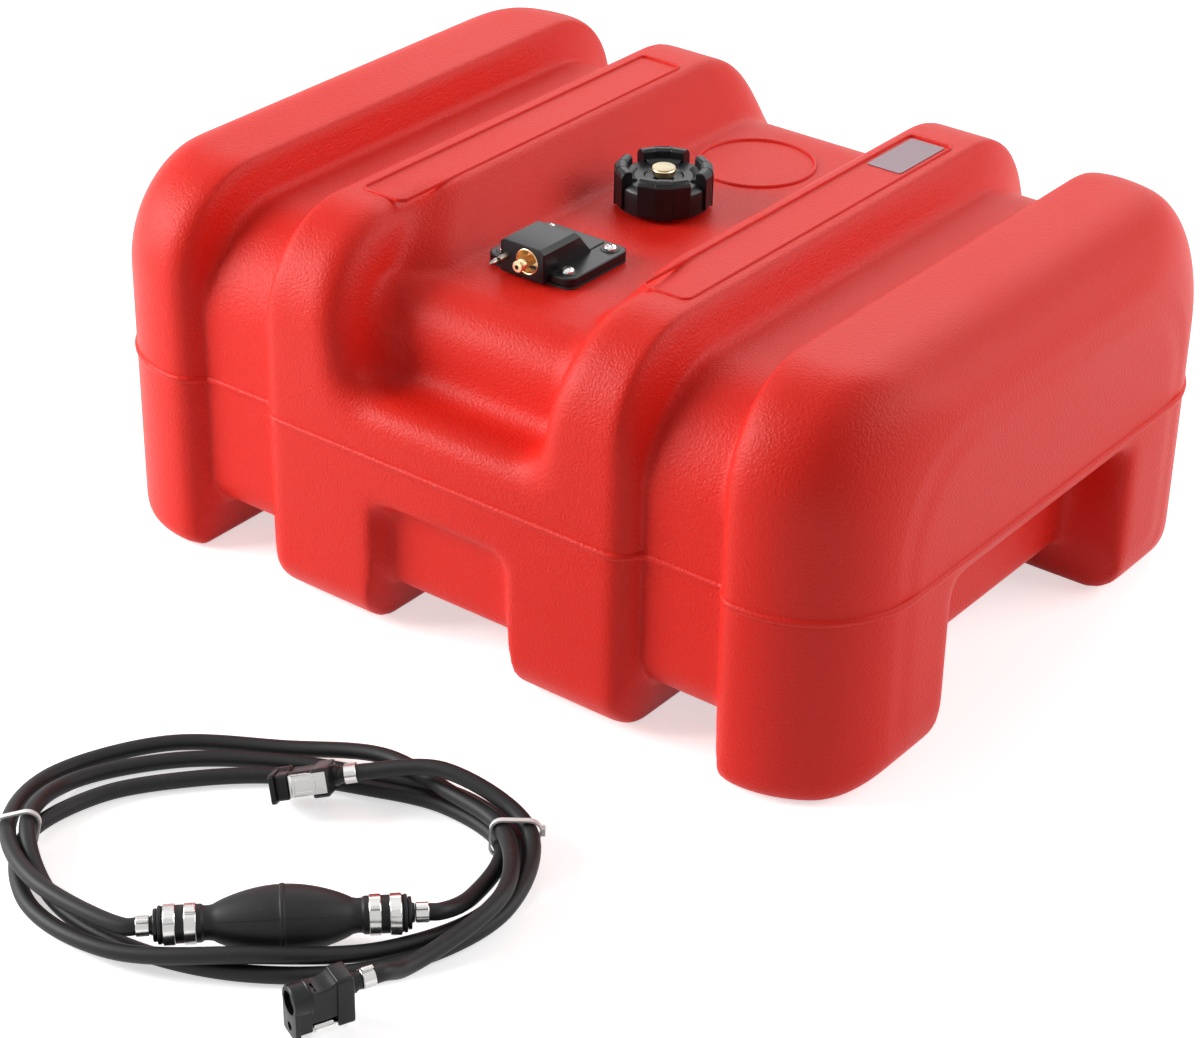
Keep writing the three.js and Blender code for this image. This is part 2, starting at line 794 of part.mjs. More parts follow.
// Air vent: a stem through the cap's floor, its knob and the knob's inlay
add('vent_stem', turned([
  [0, stemBottom], [stemFlange, stemBottom], [stemFlange, stemBottom + stemFlangeHeight],
  [stemRadius, stemBottom + stemFlangeHeight], [stemRadius, stemShoulder],
  [stemTipRadius, stemShoulder], [stemTipRadius, stemTip], [0, stemTip],
], smallSides), 'brass', capGroup);
add('vent_knob', turned([
  [knobBore, knobBottom], [knobRadius, knobBottom], [knobRadius, knobTop], [0, knobTop],
  [0, knobBoreTop], [knobBore, knobBoreTop], [knobBore, knobBottom],
], roundSides), 'brass', capGroup);
const inlayLow = knobTop + seatGap;
add('vent_inlay', disc(padRadius, inlayLow, inlayLow + padHeight, smallSides * 2), 'ivory', capGroup);

// Withdrawal fitting: gasket, plate with block and gusset, socket parts and screws
const plateShape = () => roundedRect(
  fittingsX - plateWidth / 2, fittingsX + plateWidth / 2, -plateFront, -plateBack, plateRadius,
);
const socketX = fittingsX + socketOffset;

function drilled(solid, low, high, radius) {
  const holes = screwPlaces.map(([x, y]) => place(disc(radius, low, high, smallSides), x, y, 0));
  return cut(solid, ...holes);
}

function alongFront(geometry, x, z) {
  geometry.rotateX(Math.PI / 2);
  geometry.translate(x, 0, z);
  return geometry;
}

function fittingBody() {
  const side = polygon([[-blockFront, plateLow], [-gussetBack, plateLow], [-gussetBack, plateTop],
    [-blockBack, blockTop], [-blockFront, blockTop]]);
  const [left, right] = [fittingsX - blockWidth / 2, fittingsX + blockWidth / 2];
  const face = polygon([[left, plateLow], [right, plateLow], [right, blockTop - blockChamfer],
    [right - blockChamfer, blockTop], [left + blockChamfer, blockTop], [left, blockTop - blockChamfer]]);
  const block = toSolid(extrude(side, 'x', left, right)).intersect(
    toSolid(extrude(face, 'y', -blockFront, -gussetBack)));
  let body = block.add(toSolid(extrude(plateShape(), 'z', plateLow, plateTop, cornerSteps + 1)));
  body = drilled(body, plateLow - seatGap, blockTop, screwRadius + screwClearance);
  const socketTool = disc(socketRadius, blockFront - socketDepth, blockFront + socketDepth);
  const tubeTool = disc(pickupRadius + screwClearance, plateLow - seatGap, socketHeight, smallSides);
  return cut(
    body,
    alongFront(socketTool, socketX, socketHeight),
    alongFront(disc(passageRadius, -pickupPlace[1], blockFront, smallSides), socketX, socketHeight),
    alongFront(disc(pinRadius + screwClearance, pinRoot - seatGap, blockFront + pinPoint, smallSides),
      socketX - pinOffset, socketHeight),
    place(tubeTool, ...pickupPlace, 0),
  );
}
const gasketSolid = cut(
  toSolid(extrude(plateShape(), 'z', gasketLow, gasketHigh, cornerSteps)),
  place(disc(pickupHole, valleyTop, plateTop, smallSides), ...pickupPlace, 0),
);
add('fitting_gasket', drilled(gasketSolid, valleyTop, plateTop, screwRadius + screwClearance), 'rubber');
add('fitting_body', fittingBody(), 'black');

const cupRadius = socketRadius - seatGap;
const cupBack = blockFront - socketDepth + seatGap;
const cupFloor = cupBack + nippleWall * 2;
add('fitting_nipple', alongFront(turned([
  [nippleBore, cupBack], [cupRadius, cupBack], [cupRadius, blockFront],
  [cupRadius - nippleWall, blockFront], [cupRadius - nippleWall * 2, cupFloor], [nippleRadius, cupFloor],
  [nippleRadius, nippleTip - nippleRadius * 2], [nippleRadius + nippleBulge, nippleTip - nippleRadius],
  [nippleRadius, nippleTip - nippleBulge], [nippleBore + nippleBulge, nippleTip],
  [nippleBore, nippleTip], [nippleBore, cupBack],
], nippleSides), socketX, socketHeight), 'brass');
add('fitting_guide_pin', alongFront(turned([
  [0, pinRoot], [pinRadius, pinRoot], [pinRadius, pinTip - pinPoint], [pinRadius / 2, pinTip - pinPoint / 4],
  [0, pinTip],
], smallSides), socketX - pinOffset, socketHeight), 'steel');

function panScrew() {
  const seat = plateTop + seatGap;
  const top = seat + screwHeadHeight;
  const screw = toSolid(turned([
    [0, screwEnd], [screwRadius, screwEnd], [screwRadius, seat], [screwHead, seat],
    [screwHead, seat + screwHeadHeight / 2], [screwHead * chamferShare, top], [0, top],
  ], smallSides));
  const reach = (screwHead * slotLengthShare) / 2;
  const bar = rectangle(-reach, reach, -screwSlotWidth / 2, screwSlotWidth / 2);
  const slot = extrude(bar, 'z', top - screwSlotDepth, top + screwHeadHeight);
  const cross = slot.clone().rotateZ(Math.PI / 2);
  return cut(screw, slot, cross);
}
screwPlaces.forEach(([x, y], i) => {
  add(`fitting_screw_${i + 1}`, place(fromSolid(panScrew()), x, y, 0), 'steel');
});

// Pickup tube down to the floor of the tank, with a strainer on its foot
add('pickup_tube', place(turned([
  [pickupBore, pickupEnd], [pickupRadius, pickupEnd], [pickupRadius, socketHeight - passageRadius * 2],
  [pickupBore, socketHeight - passageRadius * 2], [pickupBore, pickupEnd],
], smallSides), ...pickupPlace, 0), 'black');
add('pickup_strainer', place(turned([
  [0, strainerBottom], [strainerRadius, strainerBottom], [strainerRadius, strainerBottom + strainerHeight],
  [pickupRadius + seatGap, strainerBottom + strainerHeight], [pickupRadius + seatGap, pickupEnd - seatGap],
  [0, pickupEnd - seatGap],
], smallSides), ...pickupPlace, 0), 'mesh');

// Blank label in the panel of the ridge on the right
const labelLow = tankHeight - panelDepth + seatGap;
const labelOutline = roundedRect(
  panelInner + labelInset, panelOuter - labelInset, labelFront, labelBack, labelRadius,
);
add('blank_label', extrude(labelOutline, 'z', labelLow, labelLow + labelThickness, cornerSteps), 'label');

// Fuel hose: each lap's points come from its lane, in hose diameters inwards from the ring's outer
// line, and its layer, in hose diameters above the floor
const hoseDiameter = hoseRadius * 2;
const across = new THREE.Vector3(Math.cos(deg(coilAngle)), Math.sin(deg(coilAngle)), 0);
const away = new THREE.Vector3(-Math.sin(deg(coilAngle)), Math.cos(deg(coilAngle)), 0);

function coilPoint(angle, lane, layer) {
  const u = (coilHalfLength - lane * hoseDiameter) * Math.cos(deg(angle));
  const v = (coilHalfWidth - lane * hoseDiameter) * Math.sin(deg(angle));
  const point = new THREE.Vector3(...coilCentre, hoseRadius + floorGap + layer * hoseDiameter);
  return point.addScaledVector(across, u).addScaledVector(away, v);
}

function lapPoints(start, lanes, layers) {
  return lanes.map((lane, i) => coilPoint(start - i * stationAngle, lane, layers[i]));
}

function heading(turn, pitch = 0) {
  const level = new THREE.Vector3(Math.cos(deg(turn)), Math.sin(deg(turn)), 0);
  return level.multiplyScalar(Math.cos(deg(pitch))).setZ(Math.sin(deg(pitch)));
}

// An end point and two beyond it, straight out of the piece that the hose meets
function straightEnd(point, direction) {
  return straightShares.map((share) => point.clone().addScaledVector(direction, hoseDiameter * share));
}

const bulbMiddle = new THREE.Vector3(...bulbCentre);
const bulbLine = heading(bulbAngle);
const hoseStart = valveEnd + hoseGap;
const bulbLeftEnd = bulbMiddle.clone().addScaledVector(bulbLine, -hoseStart);
const bulbRightEnd = bulbMiddle.clone().addScaledVector(bulbLine, hoseStart);

const engineRoute = [
  ...straightEnd(bulbLeftEnd, bulbLine.clone().negate()),
  ...lapPoints(engineStart, engineLanes, engineLayers),
  ...straightEnd(new THREE.Vector3(...engineExit), heading(engineTurn, enginePitch)).reverse(),
];
const tankRoute = [
  ...straightEnd(new THREE.Vector3(...tankExit), heading(tankTurn, tankPitch)),
  ...lapPoints(tankStart, tankLanes, tankLayers),
  ...straightEnd(bulbRightEnd, bulbLine).reverse(),
];

function routeCurve(route) {
  return new THREE.CatmullRomCurve3(route);
}

// One unbroken tube along a route, with its rings square to the route and level sides
function hoseTube(route) {
  const curve = routeCurve(route);
  const count = (route.length - 1) * stationSteps;
  const points = [];
  const faces = [];
  for (let i = 0; i <= count; i += 1) {
    const share = i / count;
    const centre = curve.getPoint(share);
    const along = curve.getTangent(share);
    const side = new THREE.Vector3(0, 0, 1).cross(along).normalize();
    const up = along.clone().cross(side);
    for (let k = 0; k < hoseSides; k += 1) {
      const angle = (Math.PI * 2 * (k + 1 / 2)) / hoseSides;
      const corner = centre.clone().addScaledVector(side, hoseRadius * Math.cos(angle));
      corner.addScaledVector(up, hoseRadius * Math.sin(angle));
      points.push(...corner.toArray());
    }
  }
  for (let i = 0; i < count; i += 1) {
    for (let k = 0; k < hoseSides; k += 1) {
      const next = (k + 1) % hoseSides;
      const [a, b] = [i * hoseSides + k, i * hoseSides + next];
      const [c, d] = [a + hoseSides, b + hoseSides];
      faces.push(a, b, d, a, d, c);
    }
  }
  for (let k = 1; k + 1 < hoseSides; k += 1) {
    const last = count * hoseSides;
    faces.push(0, k + 1, k, last, last + k, last + k + 1);
  }
  const geometry = new THREE.BufferGeometry();
  geometry.setAttribute('position', new THREE.Float32BufferAttribute(points, 3));
  geometry.setIndex(faces);
  return geometry;
}
add('hose_engine_side', hoseTube(engineRoute), 'rubber');
add('hose_tank_side', hoseTube(tankRoute), 'rubber');

// The least gap between any two laps, measured on points along both routes
function leastGap(routes) {
  const samples = [];
  routes.forEach((route, which) => {
    const curve = routeCurve(route);
    const count = (route.length - 1) * gapSamples;
    let run = 0;
    let before = null;
    for (let i = 0; i <= count; i += 1) {
      const point = curve.getPoint(i / count);
      if (before) run += point.distanceTo(before);
      before = point;
      samples.push({ which, run, point });
    }
  });
  let least = Infinity;
  samples.forEach((one, i) => {
    for (let k = i + 1; k < samples.length; k += 1) {
      const other = samples[k];
      if (one.which === other.which && Math.abs(one.run - other.run) < hoseDiameter * ownLapShare) continue;
      least = Math.min(least, one.point.distanceTo(other.point));
    }
  });
  return least - hoseDiameter;
}
console.log('least gap between laps of hose, mm:', leastGap([engineRoute, tankRoute]).toFixed(2));
for (const [name, route] of [['engine side', engineRoute], ['tank side', tankRoute]]) {
  console.log('hose length, mm:', name, routeCurve(route).getLength().toFixed(0));
}

// Primer bulb, laid along X in its own group
const bulbGroup = new THREE.Group();
bulbGroup.position.set(...bulbCentre);
bulbGroup.rotation.z = deg(bulbAngle);
group.add(bulbGroup);

function bulbRadiusAt(place) {
  const share = Math.cos((Math.PI / 2) * Math.min(Math.abs(place) / bulbHalf, 1));
  return bulbNeck + (bulbRadius - bulbNeck) * Math.max(share, 0) ** bulbFullness;
}

function primerBulb() {
  const outer = [
    [collarRadius, collarEnd], [collarRadius, collarStart], [bulbNeck, collarStart - bulbSeamWidth],
  ];
  const inner = [[collarBore, collarEnd], [collarBore, bulbHalf]];
  const steps = filletSteps + 2;
  for (let i = 0; i < steps; i += 1) {
    const at = bulbHalf * (1 - i / steps);
    outer.push([bulbRadiusAt(at), at]);
    if (i > 0 && i % 2 === 0) inner.push([Math.max(bulbRadiusAt(at) - bulbWall, collarBore), at]);
  }
  outer.push([bulbRadiusAt(bulbSeamWidth), bulbSeamWidth / 2 + bulbSeam]);
  outer.push([bulbRadius + bulbSeam, bulbSeamWidth / 2]);
  const mirror = (list) => list.map(([r, at]) => [r, -at]);
  const right = [...outer].reverse();
  const profile = [...mirror(outer), ...right, ...inner, ...mirror(inner).reverse()];
  profile.push(profile[0]);
  return turned(profile, clampSides, 'x');
}
add('primer_bulb', primerBulb(), 'rubber', bulbGroup);

// A band clamp round a tube along X, with its crimped ear on top
function bandClamp(innerRadius, width) {
  const outer = innerRadius + clampThickness;
  const band = toSolid(turned([
    [innerRadius, -width / 2], [outer, -width / 2], [outer, width / 2], [innerRadius, width / 2],
    [innerRadius, -width / 2],
  ], clampSides, 'x'));
  const ear = rectangle(-earWidth / 2, earWidth / 2, outer - clampThickness / 2, outer + earHeight);
  return fromSolid(band.add(toSolid(extrude(ear, 'x', -width / 2, width / 2))));
}

const clampSpots = [...bulbClampPlaces.map((at) => -at).reverse(), ...bulbClampPlaces];
clampSpots.forEach((at, i) => {
  const band = bandClamp(collarRadius + clampGap, bulbClampWidth);
  const mesh = add(`bulb_clamp_${i + 1}`, band, 'steel', bulbGroup);
  mesh.position.x = at;
  mesh.rotation.x = deg(clampTurns[i]);
});

// Check valves in the collars: a barbed nipple with its ball
function checkValve() {
  const [chamberStart, chamberEnd] = valveChamber;
  return turned([
    [valveSeat, valveStart], [valveBarb - clampThickness, valveStart],
    [valveBarb, valveStart + clampThickness],
    [valveBarb, valveFlangeStart], [valveFlange, valveFlangeStart], [valveFlange, valveFlangeEnd],
    [valveBoss, valveFlangeEnd], [valveBoss, valveEnd], [valveSeat, valveEnd],
    [valveSeat, chamberEnd], [valveBore, chamberEnd - valveBore + valveSeat],
    [valveBore, chamberStart + valveBore - valveSeat], [valveSeat, chamberStart], [valveSeat, valveStart],
  ], smallSides, 'x');
}
[['left', Math.PI], ['right', 0]].forEach(([name, turn]) => {
  add(`check_valve_${name}`, checkValve(), 'black', bulbGroup).rotation.z = turn;
  const ball = weld(new THREE.SphereGeometry(ballRadius, smallSides, smallSides / 2));
  add(`check_ball_${name}`, ball, 'steel', bulbGroup).position.x = Math.cos(turn) * ballPlace;
  const band = bandClamp(hoseRadius + clampGap, hoseClampWidth);
  const clamp = add(`hose_clamp_bulb_${name}`, band, 'steel', bulbGroup);
  clamp.position.x = Math.cos(turn) * (hoseStart + hoseClampWidth / 2 + clampGap);
  clamp.rotation.x = deg(bulbHoseClampTurn);
});

// Quick connector, along X from its open face to the hose, with its latch side downwards
const barrel = (radius, from, to, sides = smallSides) => {
  return turned([[0, from], [radius, from], [radius, to], [0, to]], sides, 'x');
};

function connectorBody() {
  const slab = (half, low, high, from, to) => {
    return extrude(roundedRect(-half, half, low, high, connectorCorner), 'x', from, to, cornerSteps);
  };
  const parts = join(
    barrel(barrelRadius, 0, barrelEnd, barrelSides),
    slab(flangeHalfWidth, -flangeUnder, 0, 0, flangeThickness),
    slab(frontHalfWidth, -frontUnder, 0, flangeThickness - seatGap, barrelEnd),
    slab(bodyHalfWidth, -bodyUnder, bodyOver, barrelEnd - seatGap, rearStart + seatGap),
    slab(rearHalfWidth, -rearUnder, rearOver, rearStart, rearEnd),
    barrel(connectorNeck, rearEnd - seatGap, neckEnd),
    barrel(connectorBoss, neckEnd - seatGap, connectorLength - hoseGap),
  );
  const recess = rectangle(
    -latchHalfWidth - seatGap, latchHalfWidth + seatGap, -flangeUnder, latchRecessDepth - rearUnder,
  );
  return cut(
    parts,
    barrel(connectorSocket, -flangeThickness, connectorSocketDepth),
    barrel(connectorPassage, 0, connectorLength + flangeThickness),
    place(barrel(connectorPinHole, -flangeThickness, connectorPinDepth), 0, 0, -pinOffset),
    extrude(recess, 'x', barrelEnd, latchEnd + seatGap * 2),
  );
}

// The latch is a sprung plate on a pin at the hose's end, with a lip and two cheeks at its free end
function connectorLatch() {
  const [low, high] = [-latchThickness / 2, latchThickness / 2];
  const reach = latchStart - latchEnd;
  const plate = extrude(polygon([
    [reach, low - latchLip], [reach + latchThickness, low - latchLip], [reach + latchThickness, low],
    [0, low], [0, high], [reach, high],
  ]), 'y', -latchHalfWidth, latchHalfWidth);
  const cheeks = [-latchHalfWidth, latchHalfWidth - latchThickness].map((y) => {
    const side = polygon([
      [reach, low], [latchCheekEnd - latchEnd, low],
      [latchCheekEnd - latchEnd, latchCheek], [reach, latchCheek],
    ]);
    return extrude(side, 'y', y, y + latchThickness);
  });
  return join(plate, ...cheeks);
}

function connector(name, exit, turn, pitch, roll) {
  const frame = new THREE.Group();
  frame.position.set(...exit);
  frame.rotation.set(deg(roll), -deg(pitch), deg(turn), 'ZYX');
  const rolled = new THREE.Group();
  rolled.position.x = -connectorLength;
  frame.add(rolled);
  group.add(frame);
  add(`${name}_connector`, connectorBody(), 'black', rolled);
  const latch = add(`${name}_latch`, connectorLatch(), 'steel', rolled);
  latch.position.set(latchEnd, 0, -latchDrop - latchThickness / 2);
  const clamp = add(`hose_clamp_${name}`, bandClamp(hoseRadius + clampGap, hoseClampWidth), 'steel', rolled);
  clamp.position.x = connectorLength + hoseClampWidth / 2 + clampGap;
}
connector('engine', engineExit, engineTurn, enginePitch, 0);
connector('tank', tankExit, tankTurn, tankPitch, tankRoll);

// Cable ties, each drawn tight round all the laps that pass one angle of the ring
function lapsAt(angle) {
  const runs = [[engineStart, engineLanes, engineLayers], [tankStart, tankLanes, tankLayers]];
  return runs.flatMap(([start, lanes, layers]) => lanes.flatMap((lane, i) => {
    const turns = (start - i * stationAngle - angle) / fullTurn;
    const away = Math.abs(turns - Math.round(turns)) * fullTurn;
    if (away >= stationAngle / 2) return [];
    return [[lane * hoseDiameter, hoseRadius + floorGap + layers[i] * hoseDiameter]];
  }));
}

function roundLaps(places, reach) {
  const { CrossSection } = wasm;
  const rounds = places.map((place) => CrossSection.circle(reach, smallSides * 2).translate(place));
  return CrossSection.hull(rounds).toPolygons()[0];
}

function cableTie(name, angle) {
  const places = lapsAt(angle);
  const inner = hoseRadius + tieClearance;
  const loop = extrude(polygon(roundLaps(places, inner + tieThickness)), 'y', -tieWidth / 2, tieWidth / 2);
  const hole = extrude(polygon(roundLaps(places, inner)), 'y', -tieWidth, tieWidth);
  const left = Math.min(...places.map(([lane]) => lane)) - inner;
  const [, level] = places.find(([lane]) => lane === left + inner);
  const head = rectangle(left - tieHeadThickness, left, level - tieHead / 2, level + tieHead / 2);
  const tie = cut(join(loop, extrude(head, 'y', -tieHead / 2, tieHead / 2)), hole);
  const mesh = add(name, fromSolid(tie), 'white');
  const base = coilPoint(angle, 0, 0);
  mesh.position.set(base.x, base.y, 0);
  mesh.rotation.z = deg(coilAngle) + (Math.cos(deg(angle)) > 0 ? Math.PI : 0);
}
cableTie('tie_left', tieLeftAngle);
cableTie('tie_right', tieRightAngle);

export default group;
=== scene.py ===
import math

import bmesh
import bpy
import numpy as np
from mathutils import Matrix, Vector


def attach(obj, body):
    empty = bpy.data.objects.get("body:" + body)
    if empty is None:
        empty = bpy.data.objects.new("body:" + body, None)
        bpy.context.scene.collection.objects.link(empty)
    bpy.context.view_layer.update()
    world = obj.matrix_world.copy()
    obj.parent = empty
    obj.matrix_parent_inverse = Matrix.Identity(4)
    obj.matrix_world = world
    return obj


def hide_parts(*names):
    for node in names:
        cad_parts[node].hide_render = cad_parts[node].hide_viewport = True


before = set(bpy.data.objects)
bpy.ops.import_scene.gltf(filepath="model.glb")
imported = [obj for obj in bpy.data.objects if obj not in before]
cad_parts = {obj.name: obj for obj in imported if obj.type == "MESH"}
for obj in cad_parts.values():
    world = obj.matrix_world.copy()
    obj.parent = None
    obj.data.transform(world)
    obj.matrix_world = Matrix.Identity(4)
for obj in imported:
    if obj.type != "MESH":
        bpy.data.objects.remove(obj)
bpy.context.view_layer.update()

# The camera stands where the photograph was taken from: in front, to the right and above, with a
# long lens and a slight roll.
CAMERA_AT = Vector((1.0539, -1.4557, 1.0468))
CAMERA_AZIMUTH = 37.07
CAMERA_ELEVATION = 30.27
CAMERA_ROLL = 1.11
CAMERA_LENS = 89.4
CAMERA_SENSOR = 36
CAMERA_REACH = 30
PHOTO_WIDTH = 1200
PHOTO_SHIFT = 4.5

turn, rise = math.radians(CAMERA_AZIMUTH), math.radians(CAMERA_ELEVATION)
back = Vector((math.sin(turn) * math.cos(rise), -math.cos(turn) * math.cos(rise), math.sin(rise)))
level = Vector((math.cos(turn), math.sin(turn), 0))
upright = back.cross(level)
roll = math.radians(CAMERA_ROLL)
right = level * math.cos(roll) + upright * math.sin(roll)
up = upright * math.cos(roll) - level * math.sin(roll)
camera_data = bpy.data.cameras.new("camera")
camera_data.lens = CAMERA_LENS
camera_data.sensor_width = CAMERA_SENSOR
camera_data.shift_y = PHOTO_SHIFT / PHOTO_WIDTH
camera_data.clip_end = CAMERA_REACH
camera = bpy.data.objects.new("camera", camera_data)
camera.matrix_world = Matrix((
    (right.x, up.x, back.x, CAMERA_AT.x),
    (right.y, up.y, back.y, CAMERA_AT.y),
    (right.z, up.z, back.z, CAMERA_AT.z),
    (0, 0, 0, 1),
))
bpy.context.scene.collection.objects.link(camera)
bpy.context.scene.camera = camera


# The fuel hose: black rubber, 10 mm outside, in two lengths that lie as one ring on the floor.
# Each lap's points come from its lane, in hose diameters inwards from the ring's outer line, and its
# layer, in hose diameters above the floor, as in the part's own source.
HOSE_RADIUS = 0.005
HOSE_GAP = 0.0003
FLOOR_GAP = 0.0003
COIL_CENTRE = (0.0555, -0.448)
COIL_ANGLE = 37.07
COIL_HALF_LENGTH = 0.151
COIL_HALF_WIDTH = 0.118
STATION_ANGLE = 30
ENGINE_START = -150
ENGINE_LANES = [0.5, -0.1, -0.95, 0.3, 2.1, 2.75, 3.45, 1.5, -0.9, -2.45]
ENGINE_LAYERS = [1.35, 0.95, 0.05, 0.1, 0.1, 0.95, 1.15, 1.35, 1.55, 1]
TANK_START = 30
TANK_LANES = [3.55, -0.05, -1.05, -0.85, -0.1, 0.75, 1.3, 1.1, 0.65, 2.15, 3.45, 3.8, 2.1, 0.4,
              0.05, 0.35, 0, -0.4, -0.05, 0.85, 2.75, 4.4, 4.9, 5, 3.55, 1.55, 1.15]
TANK_LAYERS = [2.6, 1.35, 0.45, 0, 0, 0, 0.1, 1.3, 0.2, 0, 0, 0.05, 0, 0.15,
               0, 0.25, 1.2, 0.4, 0, 0.15, 0, 0, 0, 0, 0, 0.15, 0.55]
STRAIGHT_SHARES = (0, 0.7, 1.4)
BULB_CENTRE = Vector((0.1236, -0.509, 0.0206))
BULB_ANGLE = 43.4
VALVE_END = 0.073
ENGINE_EXIT = Vector((0.1941, -0.5244, 0.0231))
ENGINE_TURN, ENGINE_PITCH = 66, 0
TANK_EXIT = Vector((0.0571, -0.3837, 0.0205))
TANK_TURN, TANK_PITCH = 36.4, 11
RUBBER_COLOUR = (0.011, 0.011, 0.012)
ROUTE_STEPS, HOSE_SIDES = 14, 20
TONE_SCALE, TONE_DETAIL = 9, 6
GLOSS_LOW_SHARE, GLOSS_HIGH_SHARE = 0.88, 1.14
GRAIN_DETAIL = 3
DUST_SCALE, DUST_DETAIL, DUST_LOW, DUST_HIGH = 260, 8, 0.62, 0.8
DUST_COLOUR = (0.3, 0.29, 0.27, 1)


def build(name, verts, faces, material, smooth=True, angle=40):
    """One object from points and faces, with its material and soft shading below an edge angle."""
    name = name.replace(" ", "_")
    data = bpy.data.meshes.new(name)
    data.from_pydata([tuple(v) for v in verts], [], [tuple(f) for f in faces])
    data.validate()
    piece = bpy.data.objects.new(name, data)
    bpy.context.scene.collection.objects.link(piece)
    data.materials.append(material)
    if smooth:
        data.shade_smooth() if angle >= 180 else soften(piece, angle)
    return piece


def soften(piece, angle):
    """Smooth shading that stays sharp over edges steeper than the angle."""
    shape = bmesh.new()
    shape.from_mesh(piece.data)
    limit = math.radians(angle)
    for face in shape.faces:
        face.smooth = True
    for edge in shape.edges:
        edge.smooth = len(edge.link_faces) == 2 and edge.calc_face_angle(0) < limit
    shape.to_mesh(piece.data)
    shape.free()


def plastic(name, colour, roughness=0.5, grain=0.0, size=900.0, mottle=0.06, metallic=0.0, dust=0.0,
            specular=0.5):
    """A surface with fine moulded grain, slight unevenness of tone and gloss, and a little dust."""
    material = bpy.data.materials.new(name)
    material.use_nodes = True
    nodes, links = material.node_tree.nodes, material.node_tree.links
    shader = nodes["Principled BSDF"]
    shader.inputs["Metallic"].default_value = metallic
    shader.inputs["Specular IOR Level"].default_value = specular
    place = nodes.new("ShaderNodeTexCoord")
    cloud = nodes.new("ShaderNodeTexNoise")
    cloud.inputs["Scale"].default_value = TONE_SCALE
    cloud.inputs["Detail"].default_value = TONE_DETAIL
    links.new(place.outputs["Object"], cloud.inputs["Vector"])
    tone = nodes.new("ShaderNodeMapRange")
    tone.inputs["To Min"].default_value = 1 - mottle
    tone.inputs["To Max"].default_value = 1 + mottle
    links.new(cloud.outputs["Fac"], tone.inputs["Value"])
    shade = nodes.new("ShaderNodeMix")
    shade.data_type = "RGBA"
    shade.blend_type = "MULTIPLY"
    shade.inputs[0].default_value = 1
    shade.inputs[6].default_value = (*colour, 1)
    links.new(tone.outputs["Result"], shade.inputs[7])
    result = shade.outputs[2]
    if dust:
        fleck = nodes.new("ShaderNodeTexNoise")
        fleck.inputs["Scale"].default_value = DUST_SCALE
        fleck.inputs["Detail"].default_value = DUST_DETAIL
        links.new(place.outputs["Object"], fleck.inputs["Vector"])
        few = nodes.new("ShaderNodeMapRange")
        few.inputs["From Min"].default_value = DUST_LOW
        few.inputs["From Max"].default_value = DUST_HIGH
        few.inputs["To Max"].default_value = dust
        links.new(fleck.outputs["Fac"], few.inputs["Value"])
        dusty = nodes.new("ShaderNodeMix")
        dusty.data_type = "RGBA"
        dusty.inputs[7].default_value = DUST_COLOUR
        links.new(few.outputs["Result"], dusty.inputs[0])
        links.new(result, dusty.inputs[6])
        result = dusty.outputs[2]
    links.new(result, shader.inputs["Base Color"])
    gloss = nodes.new("ShaderNodeMapRange")
    gloss.inputs["To Min"].default_value = roughness * GLOSS_LOW_SHARE
    gloss.inputs["To Max"].default_value = min(roughness * GLOSS_HIGH_SHARE, 1)
    links.new(cloud.outputs["Fac"], gloss.inputs["Value"])
    links.new(gloss.outputs["Result"], shader.inputs["Roughness"])
    if grain:
        skin = nodes.new("ShaderNodeTexNoise")
        skin.inputs["Scale"].default_value = size
        skin.inputs["Detail"].default_value = GRAIN_DETAIL
        links.new(place.outputs["Object"], skin.inputs["Vector"])
        bump = nodes.new("ShaderNodeBump")
        bump.inputs["Strength"].default_value = 1
        bump.inputs["Distance"].default_value = grain
        links.new(skin.outputs["Fac"], bump.inputs["Height"])
        links.new(bump.outputs["Normal"], shader.inputs["Normal"])
    return material


def heading(turned, pitched=0):
    """Unit direction of a turn about Z and a pitch upwards, in degrees."""
    a, e = math.radians(turned), math.radians(pitched)
    return Vector((math.cos(a) * math.cos(e), math.sin(a) * math.cos(e), math.sin(e)))


def coil_point(angle, lane, layer):
    """A place on the ring, at an angle from its long line, in one lane and one layer."""
    a = math.radians(angle)
    u = (COIL_HALF_LENGTH - lane * 2 * HOSE_RADIUS) * math.cos(a)
    v = (COIL_HALF_WIDTH - lane * 2 * HOSE_RADIUS) * math.sin(a)
    along, away = heading(COIL_ANGLE), heading(COIL_ANGLE + 90)
    ground = Vector((*COIL_CENTRE, HOSE_RADIUS + FLOOR_GAP + layer * 2 * HOSE_RADIUS))
    return ground + along * u + away * v


def straight_end(point, direction):
    """The few points that keep a hose straight where it meets a fitting."""
    return [point + direction * (2 * HOSE_RADIUS * share) for share in STRAIGHT_SHARES]


def smooth_route(points, steps):
    """Points of a centripetal curve through the route's own points."""
    given = [np.array(p) for p in points]
    given = [2 * given[0] - given[1], *given, 2 * given[-1] - given[-2]]
    route = []
    for a, b, c, d in zip(given, given[1:], given[2:], given[3:]):
        before, here, after = [max(np.linalg.norm(q - p) ** 0.5, 1e-5) for p, q in ((a, b), (b, c), (c, d))]
        start = ((b - a) / before - (c - a) / (before + here) + (c - b) / here) * here
        end = ((c - b) / here - (d - b) / (here + after) + (d - c) / after) * here
        for i in range(steps):
            t = i / steps
            route.append(b * (2 * t**3 - 3 * t**2 + 1) + start * (t**3 - 2 * t**2 + t)
                         + c * (3 * t**2 - 2 * t**3) + end * (t**3 - t**2))
    route.append(given[-2])
    return np.array(route)


